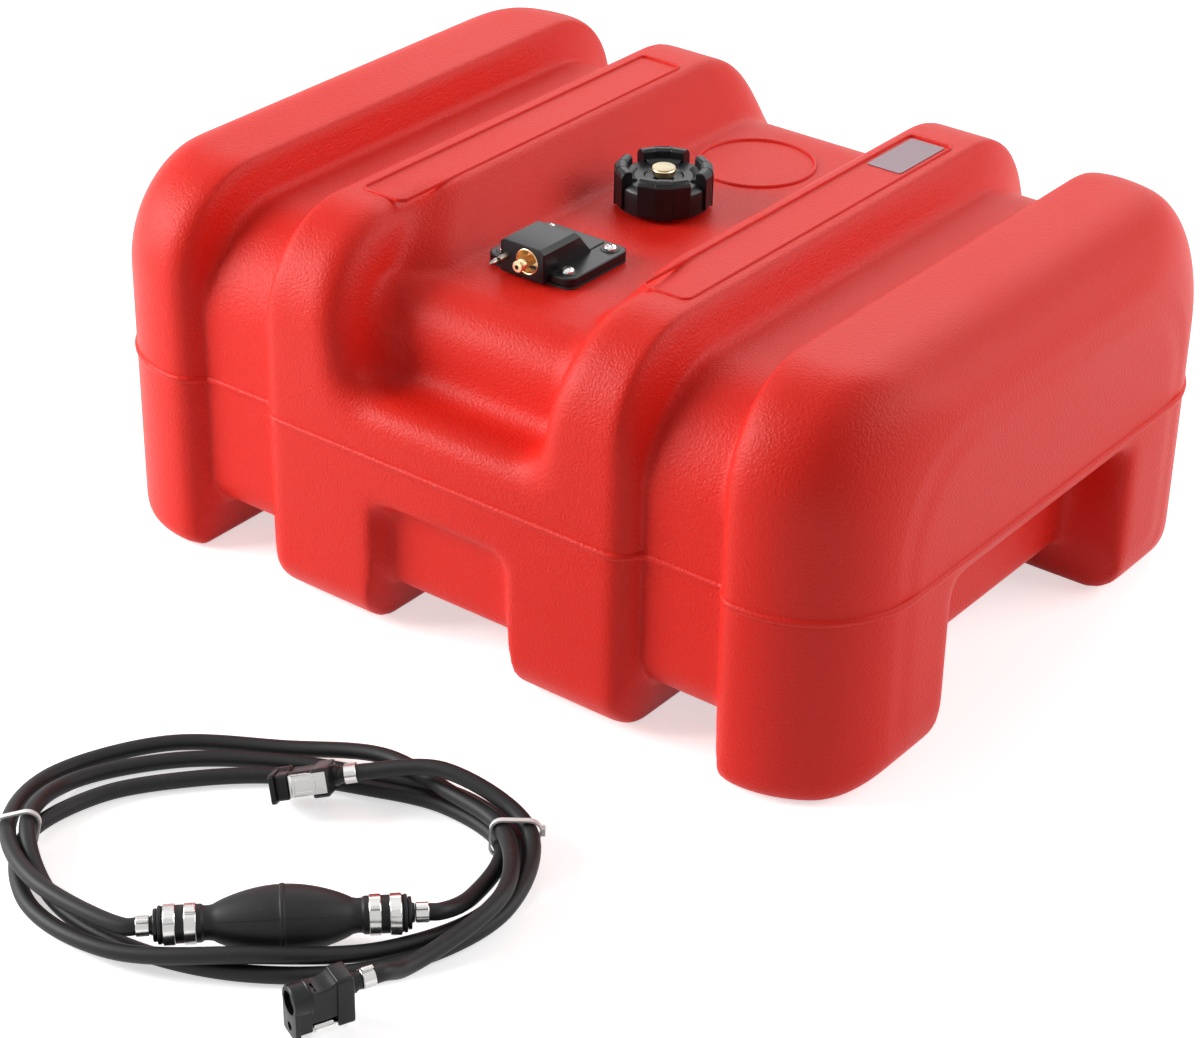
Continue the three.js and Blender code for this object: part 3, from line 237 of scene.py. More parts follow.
def tube(name, route, radius, sides, material):
    """A round tube along a route, closed at both ends."""
    along = np.gradient(route, axis=0)
    along /= np.linalg.norm(along, axis=1)[:, None]
    side = np.cross([0.0, 0.0, 1.0], along)
    side /= np.linalg.norm(side, axis=1)[:, None]
    top = np.cross(along, side)
    verts, faces = [], []
    for centre, s, t in zip(route, side, top):
        for k in range(sides):
            a = 2 * math.pi * k / sides
            verts.append(centre + radius * (math.cos(a) * s + math.sin(a) * t))
    count = len(route)
    for i in range(count - 1):
        for k in range(sides):
            n = (k + 1) % sides
            faces.append((i * sides + k, i * sides + n, (i + 1) * sides + n, (i + 1) * sides + k))
    faces.append(tuple(range(sides))[::-1])
    faces.append(tuple((count - 1) * sides + k for k in range(sides)))
    return build(name, verts, faces, material, angle=60)


def laps(start, lanes, layers):
    """Points of a hose round the ring, one for each lane and layer given."""
    return [coil_point(start - i * STATION_ANGLE, lane, layer)
            for i, (lane, layer) in enumerate(zip(lanes, layers))]


bulb_line = heading(BULB_ANGLE)
bulb_left_end = BULB_CENTRE - bulb_line * (VALVE_END + HOSE_GAP)
bulb_right_end = BULB_CENTRE + bulb_line * (VALVE_END + HOSE_GAP)
engine_points = [
    *straight_end(bulb_left_end, -bulb_line),
    *laps(ENGINE_START, ENGINE_LANES, ENGINE_LAYERS),
    *straight_end(ENGINE_EXIT, heading(ENGINE_TURN, ENGINE_PITCH))[::-1],
]
tank_points = [
    *straight_end(TANK_EXIT, heading(TANK_TURN, TANK_PITCH)),
    *laps(TANK_START, TANK_LANES, TANK_LAYERS),
    *straight_end(bulb_right_end, bulb_line)[::-1],
]
rubber = plastic("hose rubber", RUBBER_COLOUR, roughness=0.5, grain=0.00004, size=2600, mottle=0.1, dust=0.05,
                 specular=0.3)
hoses = {}
for name, points in (("engine", engine_points), ("tank", tank_points)):
    route = smooth_route(points, ROUTE_STEPS)
    hose = tube(f"hose {name} side", route, HOSE_RADIUS, HOSE_SIDES, rubber)
    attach(hose, "fuel_line")
    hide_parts(f"hose_{name}_side")
    hoses[name] = (hose, route)


# The tank shell: one blow-moulded polyethylene body, bright red with a fine leathery grain, rounded
# all over, with raised lobes, two grooves, a valley with the handle pocket, eight feet and a parting rib.
SHELL_COLOUR = (0.74, 0.018, 0.009)
GRID = 2.5
GRID_LOW = np.array([-312.0, -243.0, -4.0])
GRID_SIZE = np.array([624, 486, 276])
TANK_LENGTH = 610
TANK_HEIGHT = 268.5
WALL = 4.5
PARTING_HEIGHT = 131
RIB_HEIGHT = 5
RIB_PROUD = 1.5
GROOVE_TOP = 242
VALLEY_TOP = 231
BELLY_HEIGHT = 31
BELLY_HALF_WIDTH = 106.5
BELLY_RAMP = 8
VALLEY_FOOT, VALLEY_EDGE = 54, 92
MIDDLE_EDGE, MIDDLE_FOOT = 137, 153
LOBE_FOOT, LOBE_EDGE = 205, 215
FEET_INNER, FEET_OUTER, FEET_RAMP = 53, 150, 8
MIDDLE_FRONT, LOBE_FRONT, GROOVE_FRONT = 232, 231.5, 217.5
MIDDLE_SIDE, MIDDLE_EDGE_RADIUS = 150, 18
FOOT_BLEND = 7
LOBE_SIDE, LOBE_EDGE_RADIUS = 210.5, 18
PLAN_CORNER_RADIUS, TOP_END_RADIUS, BOTTOM_RADIUS, TOP_RADIUS = 75, 50, 30, 69
LOBE_BOTTOM_RADIUS = 14
SIDE_FALL = 5
END_BLEND = 4
POCKET_SHELF, POCKET_TOP_HALF, POCKET_SHELF_HALF = 167, 90, 74
POCKET_SHOULDER, POCKET_WALL, POCKET_WALL_TOP, POCKET_RUN_OUT = 157, 187, 195, 118
POCKET_FOOT_BLEND, POCKET_SIDE_BLEND, POCKET_RIM_BLEND = 18, 26, 22
RECESS_HALF_WIDTH, RECESS_TOP = 53, 97
RECESS_TOP_BLEND, RECESS_BACK_BLEND, RECESS_RIM_BLEND = 18, 12, 10
ARCH_WALL, ARCH_TOP = 261, 118
ARCH_TOP_BLEND, ARCH_BACK_BLEND, ARCH_RIM_BLEND = 16, 12, 12
PANEL_INNER, PANEL_OUTER, PANEL_HALF_LENGTH, PANEL_DEPTH = 95, 129, 150, 1
PANEL_EDGE_WITHIN, PANEL_EDGE_BEYOND = 1, 1.5
SPACE_HALF_LENGTH, SPACE_HALF_WIDTH, SPACE_CORNER, SPACE_EDGE = 95, 120, 40, 12
FITTINGS_X, NECK_Y, NECK_RADIUS, NECK_BORE, NECK_TOP = -12.5, 18.4, 24, 19, 246
PICKUP_PLACE, PICKUP_HOLE = -94, 10
RING_CENTRE, RING_RADIUS, RING_WIDTH, RING_PROUD = (-5, 116), 42, 3, 1.6
EVEN_ROUNDS, END_ROUNDS, END_START = 3, 14, LOBE_EDGE + 5
HALF = TANK_LENGTH / 2
MM = 0.001


def ramp(x, start, end):
    """Zero up to the start and one from the end, with a soft rise between."""
    share = np.clip((x - start) / (end - start), 0, 1)
    return share * share * (3 - 2 * share)


def loss(distance, radius):
    """How far a quarter round falls away, by the distance past its start."""
    past = np.clip(distance, 0, radius)
    return radius - np.sqrt(radius * radius - past * past)


def both(a, b, k):
    """Overlap of two shapes with the edge between them rounded over k."""
    blend = np.maximum(k - np.abs(a - b), 0) / k
    return np.maximum(a, b) + blend * blend * k / 4


def top_at(x):
    """Height of the shell's top at a place along its length."""
    a = np.minimum(np.abs(x), HALF)
    middle = VALLEY_TOP + (TANK_HEIGHT - VALLEY_TOP) * ramp(a, VALLEY_FOOT, VALLEY_EDGE)
    groove = (TANK_HEIGHT - GROOVE_TOP) * (ramp(a, MIDDLE_EDGE, MIDDLE_FOOT) - ramp(a, LOBE_FOOT, LOBE_EDGE))
    return middle - groove - loss(a - HALF + TOP_END_RADIUS, TOP_END_RADIUS)


def front_at(x):
    """How far out the shell's front and back stand at a place along its length."""
    a = np.minimum(np.abs(x), HALF)
    lobe_start = LOBE_SIDE + LOBE_EDGE_RADIUS
    middle = MIDDLE_FRONT - loss(a - MIDDLE_SIDE + MIDDLE_EDGE_RADIUS, MIDDLE_EDGE_RADIUS)
    lobe = LOBE_FRONT - loss(lobe_start - a, LOBE_EDGE_RADIUS)
    corner = LOBE_FRONT - loss(a - HALF + PLAN_CORNER_RADIUS, PLAN_CORNER_RADIUS)
    middle = middle - SIDE_FALL * np.maximum(a - MIDDLE_SIDE, 0)
    lobe = np.where(a > lobe_start, corner, lobe) - SIDE_FALL * np.maximum(LOBE_SIDE - a, 0)
    groove = GROOVE_FRONT - SIDE_FALL * np.maximum(a - lobe_start, 0)
    return both(both(middle, groove, FOOT_BLEND), lobe, FOOT_BLEND)


def bottom_at(x):
    """Height of the shell's underside at a place along its length, in the line of the feet."""
    a = np.minimum(np.abs(x), HALF)
    inner = ramp(a, FEET_INNER, FEET_INNER + FEET_RAMP)
    outer = ramp(a, FEET_OUTER - FEET_RAMP, FEET_OUTER)
    end = ramp(a, LOBE_SIDE, LOBE_SIDE + FEET_RAMP)
    return BELLY_HEIGHT * (1 - inner + outer - end) + loss(a - HALF + BOTTOM_RADIUS, BOTTOM_RADIUS)


def rounded_corner(p, q, radius):
    """Distance from a quarter-round corner, with p and q measured outwards from its two faces."""
    a, b = p + radius, q + radius
    outside = np.sqrt(np.maximum(a, 0) ** 2 + np.maximum(b, 0) ** 2)
    return outside + np.minimum(np.maximum(a, b), 0) - radius


def shell_field(x, y, z):
    """Below zero inside the shell's material."""
    along, across = np.abs(x), np.abs(y)
    front, top, bottom = front_at(x), top_at(x), bottom_at(x)
    side = across - front
    panel = ramp(along, PANEL_INNER - PANEL_EDGE_BEYOND, PANEL_INNER + PANEL_EDGE_WITHIN)
    panel = panel - ramp(along, PANEL_OUTER - PANEL_EDGE_WITHIN, PANEL_OUTER + PANEL_EDGE_BEYOND)
    panel_end = ramp(across, PANEL_HALF_LENGTH - PANEL_EDGE_WITHIN, PANEL_HALF_LENGTH + PANEL_EDGE_BEYOND)
    over = z - (top - PANEL_DEPTH * panel * (1 - panel_end))
    share = ramp(across, BELLY_HALF_WIDTH, BELLY_HALF_WIDTH + BELLY_RAMP)
    under = BELLY_HEIGHT + (bottom - BELLY_HEIGHT) * share - z
    foot_radius = BOTTOM_RADIUS + (LOBE_BOTTOM_RADIUS - BOTTOM_RADIUS) * ramp(along, LOBE_FOOT, LOBE_EDGE)
    solid = np.maximum(rounded_corner(side, over, TOP_RADIUS), rounded_corner(side, under, foot_radius))
    solid = both(solid, along - HALF, END_BLEND)
    # handle pocket
    lean = np.clip((z - POCKET_WALL_TOP) / (VALLEY_TOP - POCKET_WALL_TOP), 0, 1)
    wall = -POCKET_SHOULDER - (POCKET_WALL - POCKET_SHOULDER) * np.sqrt(1 - lean * lean)
    run = (POCKET_SHOULDER - POCKET_RUN_OUT) / (TANK_HEIGHT - VALLEY_TOP)
    wall = wall + np.maximum(z - VALLEY_TOP, 0) * run
    slope = (POCKET_TOP_HALF - POCKET_SHELF_HALF) / (TANK_HEIGHT - POCKET_SHELF)
    sides = along - POCKET_SHELF_HALF - slope * (z - POCKET_SHELF)
    pocket = both(both(y - wall, POCKET_SHELF - z, POCKET_FOOT_BLEND), sides, POCKET_SIDE_BLEND)
    solid = both(solid, -pocket, POCKET_RIM_BLEND)
    # recesses between the middle feet, and the arches in the ends
    recess = both(along - RECESS_HALF_WIDTH, z - RECESS_TOP, RECESS_TOP_BLEND)
    recess = both(recess, GROOVE_FRONT - across, RECESS_BACK_BLEND)
    solid = both(solid, -recess, RECESS_RIM_BLEND)
    arch = both(across - BELLY_HALF_WIDTH, z - ARCH_TOP, ARCH_TOP_BLEND)
    arch = both(arch, ARCH_WALL - along, ARCH_BACK_BLEND)
    solid = both(solid, -arch, ARCH_RIM_BLEND)
    # filler neck with its bore, the pickup tube's hole and the space under them
    reach = np.sqrt((x - FITTINGS_X) ** 2 + (y - NECK_Y) ** 2)
    neck = np.maximum(reach - NECK_RADIUS, np.maximum(z - NECK_TOP, VALLEY_TOP - WALL - z))
    solid = np.minimum(solid, neck)
    space = both(along - SPACE_HALF_LENGTH, across - SPACE_HALF_WIDTH, SPACE_CORNER)
    space = both(space, np.maximum(z - VALLEY_TOP + WALL, BELLY_HEIGHT + WALL - z), SPACE_EDGE)
    below = VALLEY_TOP - 2 * WALL - z
    bore = np.maximum(reach - NECK_BORE, below)
    hole = np.sqrt((x - FITTINGS_X) ** 2 + (y - PICKUP_PLACE) ** 2) - PICKUP_HOLE
    return np.maximum(np.maximum(solid, -space), np.maximum(-bore, -np.maximum(hole, below)))


def skin(field, low, step):
    """Points and four-sided faces where a field on a grid passes zero."""
    inside = field < 0
    n = np.array(field.shape) - 1
    corners = [(i, j, k) for i in (0, 1) for j in (0, 1) for k in (0, 1)]
    count = sum(inside[i:i + n[0], j:j + n[1], k:k + n[2]].astype(np.int8) for i, j, k in corners)
    cells = np.argwhere((count > 0) & (count < 8))
    number = -np.ones(tuple(n), np.int64)
    number[tuple(cells.T)] = np.arange(len(cells))
    total, hits = np.zeros((len(cells), 3)), np.zeros(len(cells))
    for a in corners:
        for axis in range(3):
            if a[axis]:
                continue
            b = list(a)
            b[axis] = 1
            fa, fb = field[tuple((cells + a).T)], field[tuple((cells + b).T)]
            crossed = (fa < 0) != (fb < 0)
            share = np.where(crossed, fa / np.where(crossed, fa - fb, 1), 0)
            point = np.array(a, float) + share[:, None] * np.eye(3)[axis]
            total += np.where(crossed[:, None], point, 0)
            hits += crossed
    verts = low + step * (cells + total / hits[:, None])
    faces = []
    for axis in range(3):
        other = [k for k in range(3) if k != axis]
        lo = [slice(1, n[k]) if k in other else slice(0, n[k]) for k in range(3)]
        hi = [slice(1, n[k]) if k in other else slice(1, n[k] + 1) for k in range(3)]
        a, b = inside[tuple(lo)], inside[tuple(hi)]
        for way in (True, False):
            edges = np.argwhere((a == way) & (b != way)) + [1 if k in other else 0 for k in range(3)]
            u, v = np.eye(3, dtype=int)[other[0]], np.eye(3, dtype=int)[other[1]]
            ring = [edges - u - v, edges - v, edges, edges - u]
            if way == (axis == 1):
                ring = ring[::-1]
            faces.append(np.stack([number[tuple(r.T)] for r in ring], 1))
    return verts, np.vstack(faces)


axes = [GRID_LOW[k] + GRID * np.arange(int(GRID_SIZE[k] / GRID) + 2) for k in range(3)]
field = shell_field(axes[0][:, None, None], axes[1][None, :, None], axes[2][None, None, :])
verts, faces = skin(field.astype(np.float32), GRID_LOW, GRID)
shell_red = plastic("shell red", SHELL_COLOUR, roughness=0.42, grain=0.0006, size=620, mottle=0.03,
                    specular=0.22)
shell = build("tank shell", verts * MM, faces, shell_red, angle=180)
ends = shell.vertex_groups.new(name="ends")
ends.add([i for i, vert in enumerate(verts) if abs(vert[0]) > END_START], 1, "ADD")
for name, rounds, group in (("even", EVEN_ROUNDS, ""), ("soften ends", END_ROUNDS, "ends")):
    smooth = shell.modifiers.new(name, "SMOOTH")
    smooth.factor = 0.5
    smooth.iterations = rounds
    smooth.vertex_group = group


def ring_band(outline, section):
    """A closed band whose section, outwards and up, follows a closed outline."""
    before, after = np.roll(outline, 1, axis=0), np.roll(outline, -1, axis=0)
    along = after - before
    along /= np.linalg.norm(along, axis=1)[:, None]
    outwards = np.stack([along[:, 1], -along[:, 0]], 1)
    verts, faces = [], []
    for point, out in zip(outline, outwards):
        for far, height in section:
            verts.append((*(point + out * far), height))
    n, m = len(outline), len(section)
    for i in range(n):
        for k in range(m):
            a, b = i * m + k, i * m + (k + 1) % m
            c, d = ((i + 1) % n) * m + k, ((i + 1) % n) * m + (k + 1) % m
            faces.append((a, c, d, b))
    return np.array(verts), faces


def rounded(left, right, low, high, radius, steps=6):
    """Outline of a rectangle with rounded corners."""
    points = []
    for cx, cy, start in ((right - radius, low + radius, -90), (right - radius, high - radius, 0),
                          (left + radius, high - radius, 90), (left + radius, low + radius, 180)):
        for i in range(steps + 1):
            a = math.radians(start + 90 * i / steps)
            points.append((cx + radius * math.cos(a), cy + radius * math.sin(a)))
    return points


# parting rib round the shell's middle, its section given outwards and up from the shell's face
RIB_POINTS, END_POINTS = 241, 24
RIB_SECTION = [
    (-2, -RIB_HEIGHT / 2), (0, -RIB_HEIGHT / 2), (RIB_PROUD * 0.6, 0.5 - RIB_HEIGHT / 2),
    (RIB_PROUD - 0.1, -0.9), (RIB_PROUD, 0.3), (RIB_PROUD - 0.2, 1.1), (RIB_PROUD * 0.4, 1.8),
    (0, RIB_HEIGHT / 2), (-2, RIB_HEIGHT / 2),
]
span = HALF * np.sin(np.linspace(-math.pi / 2, math.pi / 2, RIB_POINTS))
near = np.stack([span, -front_at(span)], 1)
corner_y = float(front_at(np.array([HALF]))[0])
end = np.array([[HALF, y] for y in np.linspace(-corner_y, corner_y, END_POINTS)[1:-1]])
outline = np.vstack([near, end, -near, -end])
verts, faces = ring_band(outline, [(far, PARTING_HEIGHT + height) for far, height in RIB_SECTION])
rib = build("parting rib", verts * MM, faces, shell_red, angle=50)

# thin raised line round each panel
BEAD_WIDTH, BEAD_HEIGHT, BEAD_CORNER, BEAD_ROOT = 1.7, 0.8, 5, -PANEL_DEPTH - 0.6
BEAD_SECTION = [
    (-BEAD_WIDTH / 2, BEAD_ROOT), (BEAD_WIDTH / 2, BEAD_ROOT), (BEAD_WIDTH / 2, 0),
    (BEAD_WIDTH * 0.3, BEAD_HEIGHT * 0.85), (0, BEAD_HEIGHT), (-BEAD_WIDTH * 0.3, BEAD_HEIGHT * 0.85),
    (-BEAD_WIDTH / 2, 0),
]
beads = []
for side in (-1, 1):
    left, right = sorted((side * PANEL_INNER, side * PANEL_OUTER))
    outline = np.array(rounded(left, right, -PANEL_HALF_LENGTH, PANEL_HALF_LENGTH, BEAD_CORNER))
    verts, faces = ring_band(outline, [(far, TANK_HEIGHT + height) for far, height in BEAD_SECTION])
    beads.append(build(f"panel bead {side}", verts * MM, faces, shell_red, angle=60))


def turned(points, sides, start=0.0, end=360.0):
    """Points and faces of a closed profile, [radius, height], turned about Z."""
    full = end - start >= 360
    count = sides if full else sides + 1
    verts = []
    for i in range(count):
        a = math.radians(start + (end - start) * i / sides)
        verts += [(r * math.cos(a), r * math.sin(a), h) for r, h in points]
    m, faces = len(points), []
    for i in range(sides):
        j = (i + 1) % count
        for k in range(m):
            n = (k + 1) % m
            if points[k][0] == 0 and points[n][0] == 0:
                continue
            faces.append((i * m + k, j * m + k, j * m + n, i * m + n))
    if not full:
        faces.append(tuple(range(m)))
        faces.append(tuple((count - 1) * m + k for k in range(m))[::-1])
    return verts, faces


def weld(piece):
    """Joins points that lie on each other and turns all faces outwards."""
    shape = bmesh.new()
    shape.from_mesh(piece.data)
    bmesh.ops.remove_doubles(shape, verts=shape.verts, dist=1e-6)
    bmesh.ops.recalc_face_normals(shape, faces=shape.faces)
    shape.to_mesh(piece.data)
    shape.free()


def lathe(name, points, sides, material, at=(0, 0, 0), rotation=None, angle=35, start=0.0, end=360.0):
    """A turned piece from its closed profile, [radius, height] in millimetres."""
    verts, faces = turned([(r * MM, h * MM) for r, h in points], sides, start, end)
    piece = build(name, verts, faces, material, smooth=False)
    matrix = Matrix.Translation(Vector(at) * MM)
    if rotation is not None:
        matrix = matrix @ rotation
    piece.data.transform(matrix)
    weld(piece)
    soften(piece, angle)
    return piece


def merge(name, pieces):
    """Several objects become one, in the order given, keeping each one's material."""
    shape = bmesh.new()
    materials = []
    for piece in pieces:
        depsgraph = bpy.context.evaluated_depsgraph_get()
        done = bpy.data.meshes.new_from_object(piece.evaluated_get(depsgraph))
        done.transform(piece.matrix_world)
        kept = len(shape.faces)
        shape.from_mesh(done)
        shape.faces.ensure_lookup_table()
        for face in shape.faces[kept:]:
            material = done.materials[face.material_index]
            if material not in materials:
                materials.append(material)
            face.material_index = materials.index(material)
    data = bpy.data.meshes.new(name)
    shape.to_mesh(data)
    shape.free()
    for material in materials:
        data.materials.append(material)
    for piece in pieces:
        bpy.data.objects.remove(piece)
    result = bpy.data.objects.new(name.replace(" ", "_"), data)
    bpy.context.scene.collection.objects.link(result)
    return result


# raised ring round the gauge's place, and the thread on the filler neck
RING_ROOT, RING_SHOULDER, RING_EDGE = 1, 0.6, 0.8
THREAD_HEIGHTS, THREAD_PROUD, THREAD_ROOT, THREAD_HALF, CREST_HALF = (238, 242), 1.1, 1, 1.2, 0.3
inner_ring = RING_RADIUS - RING_WIDTH
gauge_ring = lathe("gauge ring", [
    (inner_ring, VALLEY_TOP - RING_ROOT), (RING_RADIUS, VALLEY_TOP - RING_ROOT),
    (RING_RADIUS, VALLEY_TOP + RING_SHOULDER), (RING_RADIUS - RING_EDGE, VALLEY_TOP + RING_PROUD),
    (inner_ring + RING_EDGE, VALLEY_TOP + RING_PROUD), (inner_ring, VALLEY_TOP + RING_SHOULDER),
], 96, shell_red, at=(*RING_CENTRE, 0))
threads = [lathe(f"neck thread {i}", [
    (NECK_RADIUS - THREAD_ROOT, height - THREAD_HALF), (NECK_RADIUS + THREAD_PROUD, height - CREST_HALF),
    (NECK_RADIUS + THREAD_PROUD, height + CREST_HALF), (NECK_RADIUS - THREAD_ROOT, height + THREAD_HALF),
], 64, shell_red, at=(FITTINGS_X, NECK_Y, 0)) for i, height in enumerate(THREAD_HEIGHTS)]
shell = merge("tank shell", [shell, rib, gauge_ring, *beads, *threads])
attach(shell, "tank")
bands = ("lobe_left", "groove_left", "ridge_left", "valley", "ridge_right", "groove_right", "lobe_right")
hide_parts(*[f"shell_{half}_{band}" for half in ("lower", "upper") for band in bands],
            "shell_upper_pocket", "shell_filler_neck")


# The filler cap: black polypropylene, four raised lugs round a sunken floor and a notched skirt,
# with a rubber sealing ring inside. Profiles give the radius and the height.
CAP_RADIUS, CAP_BOTTOM, CAP_LUG_TOP = 33, 234, 261
CAP_FLOOR, CAP_SHOULDER, CAP_UNDER, CAP_BORE = 253, 250, 249, 26
CAP_BASE_RADIUS, CAP_CROWN_RADIUS = 31, 28
CAP_RECESS_RADIUS, CAP_RECESS_FLOOR = 12.5, CAP_FLOOR - 1.2
CAP_LUG_INNER, CAP_LUG_ANGLE, CAP_REST_ANGLE, CAP_LUG_MARGIN = 24, 65, -53, 3
CAP_LUGS, CAP_FACETS = 4, 3
CAP_FACET_PROUD, CAP_FACET_LIFT = 0.45, 1.2
VENT_BORE = 3.4
BLACK_COLOUR = (0.006, 0.0065, 0.0075)
CAP_BASE_PROFILE = [
    (CAP_BORE, CAP_BOTTOM), (CAP_BASE_RADIUS, CAP_BOTTOM), (CAP_BASE_RADIUS, CAP_SHOULDER - 1),
    (CAP_BASE_RADIUS - 0.5, CAP_SHOULDER), (CAP_CROWN_RADIUS, CAP_FLOOR - 0.4),
    (CAP_CROWN_RADIUS - 1, CAP_FLOOR), (CAP_RECESS_RADIUS + 1, CAP_FLOOR),
    (CAP_RECESS_RADIUS, CAP_RECESS_FLOOR), (VENT_BORE, CAP_RECESS_FLOOR), (VENT_BORE, CAP_UNDER),
    (CAP_BORE, CAP_UNDER),
]
CAP_NOTCH_PROFILE = [
    (CAP_RADIUS - 4.2, CAP_LUG_TOP - 0.5), (CAP_RADIUS - 1.2, CAP_LUG_TOP - 1.9),
    (CAP_RADIUS - 0.9, CAP_LUG_TOP - 1.2), (CAP_RADIUS - 3.9, CAP_LUG_TOP + 0.25),
]
CAP_STEP_PROFILE = [
    (CAP_LUG_INNER - 5, CAP_FLOOR - 1), (CAP_LUG_INNER + 1, CAP_FLOOR - 1),
    (CAP_LUG_INNER + 1, CAP_FLOOR + 2.4), (CAP_LUG_INNER - 2.2, CAP_FLOOR + 1.9),
    (CAP_LUG_INNER - 4.2, CAP_FLOOR + 0.6),
]


def bevel(piece, width, segments=2, angle=30):
    """Rounds the edges steeper than an angle, by a width in millimetres."""
    round_edges = piece.modifiers.new("bevel", "BEVEL")
    round_edges.width = width * MM
    round_edges.segments = segments
    round_edges.limit_method = "ANGLE"
    round_edges.angle_limit = math.radians(angle)
    return piece


def lug_facet_profile(low, outer):
    """Section of one flat panel of a lug, from its lower edge and its outer radius."""
    return [
        (CAP_BORE + 2, low), (outer - 0.6, low), (outer, low + 1),
        (outer, CAP_LUG_TOP - 4), (outer - 1.2, CAP_LUG_TOP - 1.6), (outer - 3.2, CAP_LUG_TOP),
        (CAP_LUG_INNER + 2.2, CAP_LUG_TOP), (CAP_LUG_INNER + 0.6, CAP_LUG_TOP - 1.4),
        (CAP_LUG_INNER, CAP_FLOOR - 1.5), (CAP_BORE + 2, CAP_FLOOR - 1.5),
    ]


def coat(node, material):
    """Gives a piece that keeps its shape its finish."""
    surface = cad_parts[node].data.materials
    surface.clear()
    surface.append(material)


black = plastic("black plastic", BLACK_COLOUR, roughness=0.34, grain=0.00005, size=2200, mottle=0.08,
                dust=0.02, specular=0.3)
cap_at = (FITTINGS_X, NECK_Y, 0)
cap_pieces = [lathe("cap base", CAP_BASE_PROFILE, 64, black, at=cap_at)]
facet = CAP_LUG_ANGLE / CAP_FACETS
for lug in range(CAP_LUGS):
    middle = CAP_REST_ANGLE + 360 / CAP_LUGS * lug
    for panel in (-1, 0, 1):
        at = middle + panel * facet
        low = CAP_BOTTOM + (CAP_FACET_LIFT if panel else 0)
        outer = CAP_RADIUS + (0 if panel else CAP_FACET_PROUD)
        wall = lathe(f"cap lug {lug} {panel}", lug_facet_profile(low, outer), 1, black, at=cap_at,
                     start=at - facet / 2, end=at + facet / 2, angle=18)
        cap_pieces.append(bevel(wall, 0.5 if panel else 0.35, 2, 16))
    notch_reach, step_reach = facet / 2 - CAP_LUG_MARGIN, CAP_LUG_ANGLE / 2 - CAP_LUG_MARGIN
    notch = lathe(f"cap lug slot {lug}", CAP_NOTCH_PROFILE, 1, black, at=cap_at, start=middle - notch_reach,
                  end=middle + notch_reach)
    cap_pieces.append(notch)
    ledge = lathe(f"cap lug step {lug}", CAP_STEP_PROFILE, 6, black, at=cap_at, start=middle - step_reach,
                  end=middle + step_reach)
    cap_pieces.append(bevel(ledge, 0.3))
cap = merge("filler cap", cap_pieces)
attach(cap, "cap")
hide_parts("filler_cap")
seal_rubber = plastic("seal rubber", (0.02, 0.02, 0.021), roughness=0.7, grain=0.00003, size=1800)
for node in ("cap_gasket", "fitting_gasket"):
    coat(node, seal_rubber)


# The air vent: a brass screw through the cap's floor with a small turned knob and an ivory inlay.
# Profiles give the radius and the height.
BRASS_COLOUR = (0.83, 0.63, 0.38)
IVORY_COLOUR = (0.83, 0.7, 0.46)
KNOB_LOW, KNOB_TOP, KNOB_RADIUS, KNOB_GRIP, INLAY_RADIUS, STEM_RADIUS = 253.6, 258.2, 8, 7.4, 7.6, 2.6
INLAY_SEAT = KNOB_LOW + 3.3
KNOB_PROFILE = [
    (STEM_RADIUS, KNOB_LOW), (7.2, KNOB_LOW), (KNOB_GRIP, KNOB_LOW + 0.4), (KNOB_GRIP, KNOB_LOW + 1.4),
    (7.9, KNOB_LOW + 2), (KNOB_RADIUS, KNOB_TOP - 0.6), (INLAY_RADIUS, KNOB_TOP), (0, KNOB_TOP),
    (0, INLAY_SEAT), (STEM_RADIUS, INLAY_SEAT),
]
INLAY_PROFILE = [
    (0, KNOB_TOP + 0.3), (INLAY_RADIUS, KNOB_TOP + 0.3), (INLAY_RADIUS, KNOB_TOP + 0.7),
    (INLAY_RADIUS - 0.5, KNOB_TOP + 1.05), (0, KNOB_TOP + 1.2),
]
brass = plastic("brass", BRASS_COLOUR, roughness=0.3, grain=0.00002, size=3000, mottle=0.08, metallic=1)
ivory = plastic("ivory", IVORY_COLOUR, roughness=0.42, grain=0.00003, size=2500, mottle=0.05)
coat("vent_stem", brass)
knob = merge("vent knob", [
    lathe("knob", KNOB_PROFILE, 64, brass, at=cap_at),
    lathe("inlay", INLAY_PROFILE, 64, ivory, at=cap_at),
])
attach(knob, "vent_turner")
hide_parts("vent_knob", "vent_inlay")


# The withdrawal fitting: a black moulded plate on a gasket, screwed to the valley, with a block that
# holds the brass outlet in its socket and the steel guide pin beside it.
PLATE_WIDTH, PLATE_FRONT, PLATE_BACK, PLATE_CORNER = 69, -125, -63, 7
PLATE_LOW, PLATE_TOP = 233, 239
BLOCK_WIDTH, BLOCK_FRONT, BLOCK_BACK, BLOCK_TOP, BLOCK_CHAMFER = 35, -131, -96, 256, 4
GUSSET_BACK, GUSSET_TOP = -82, PLATE_TOP + 0.5
SOCKET_RADIUS, SOCKET_DEPTH, SOCKET_X, SOCKET_Z = 9, 12, FITTINGS_X + 4, 245
STEP_HALF_WIDTH, STEP_FRONT, STEP_BACK, STEP_CORNER, STEP_HEIGHT = 16, -84, -65.5, 2, 0.8
SEAT_RADIUS, SEAT_LOW, SEAT_TOP = 6.3, PLATE_TOP - 2, PLATE_TOP + 0.6
PIN_X = SOCKET_X - 16
SCREW_PLACES = [(FITTINGS_X + x, y) for y in (-116, -72) for x in (25, -25)]
OVERRUN = 5


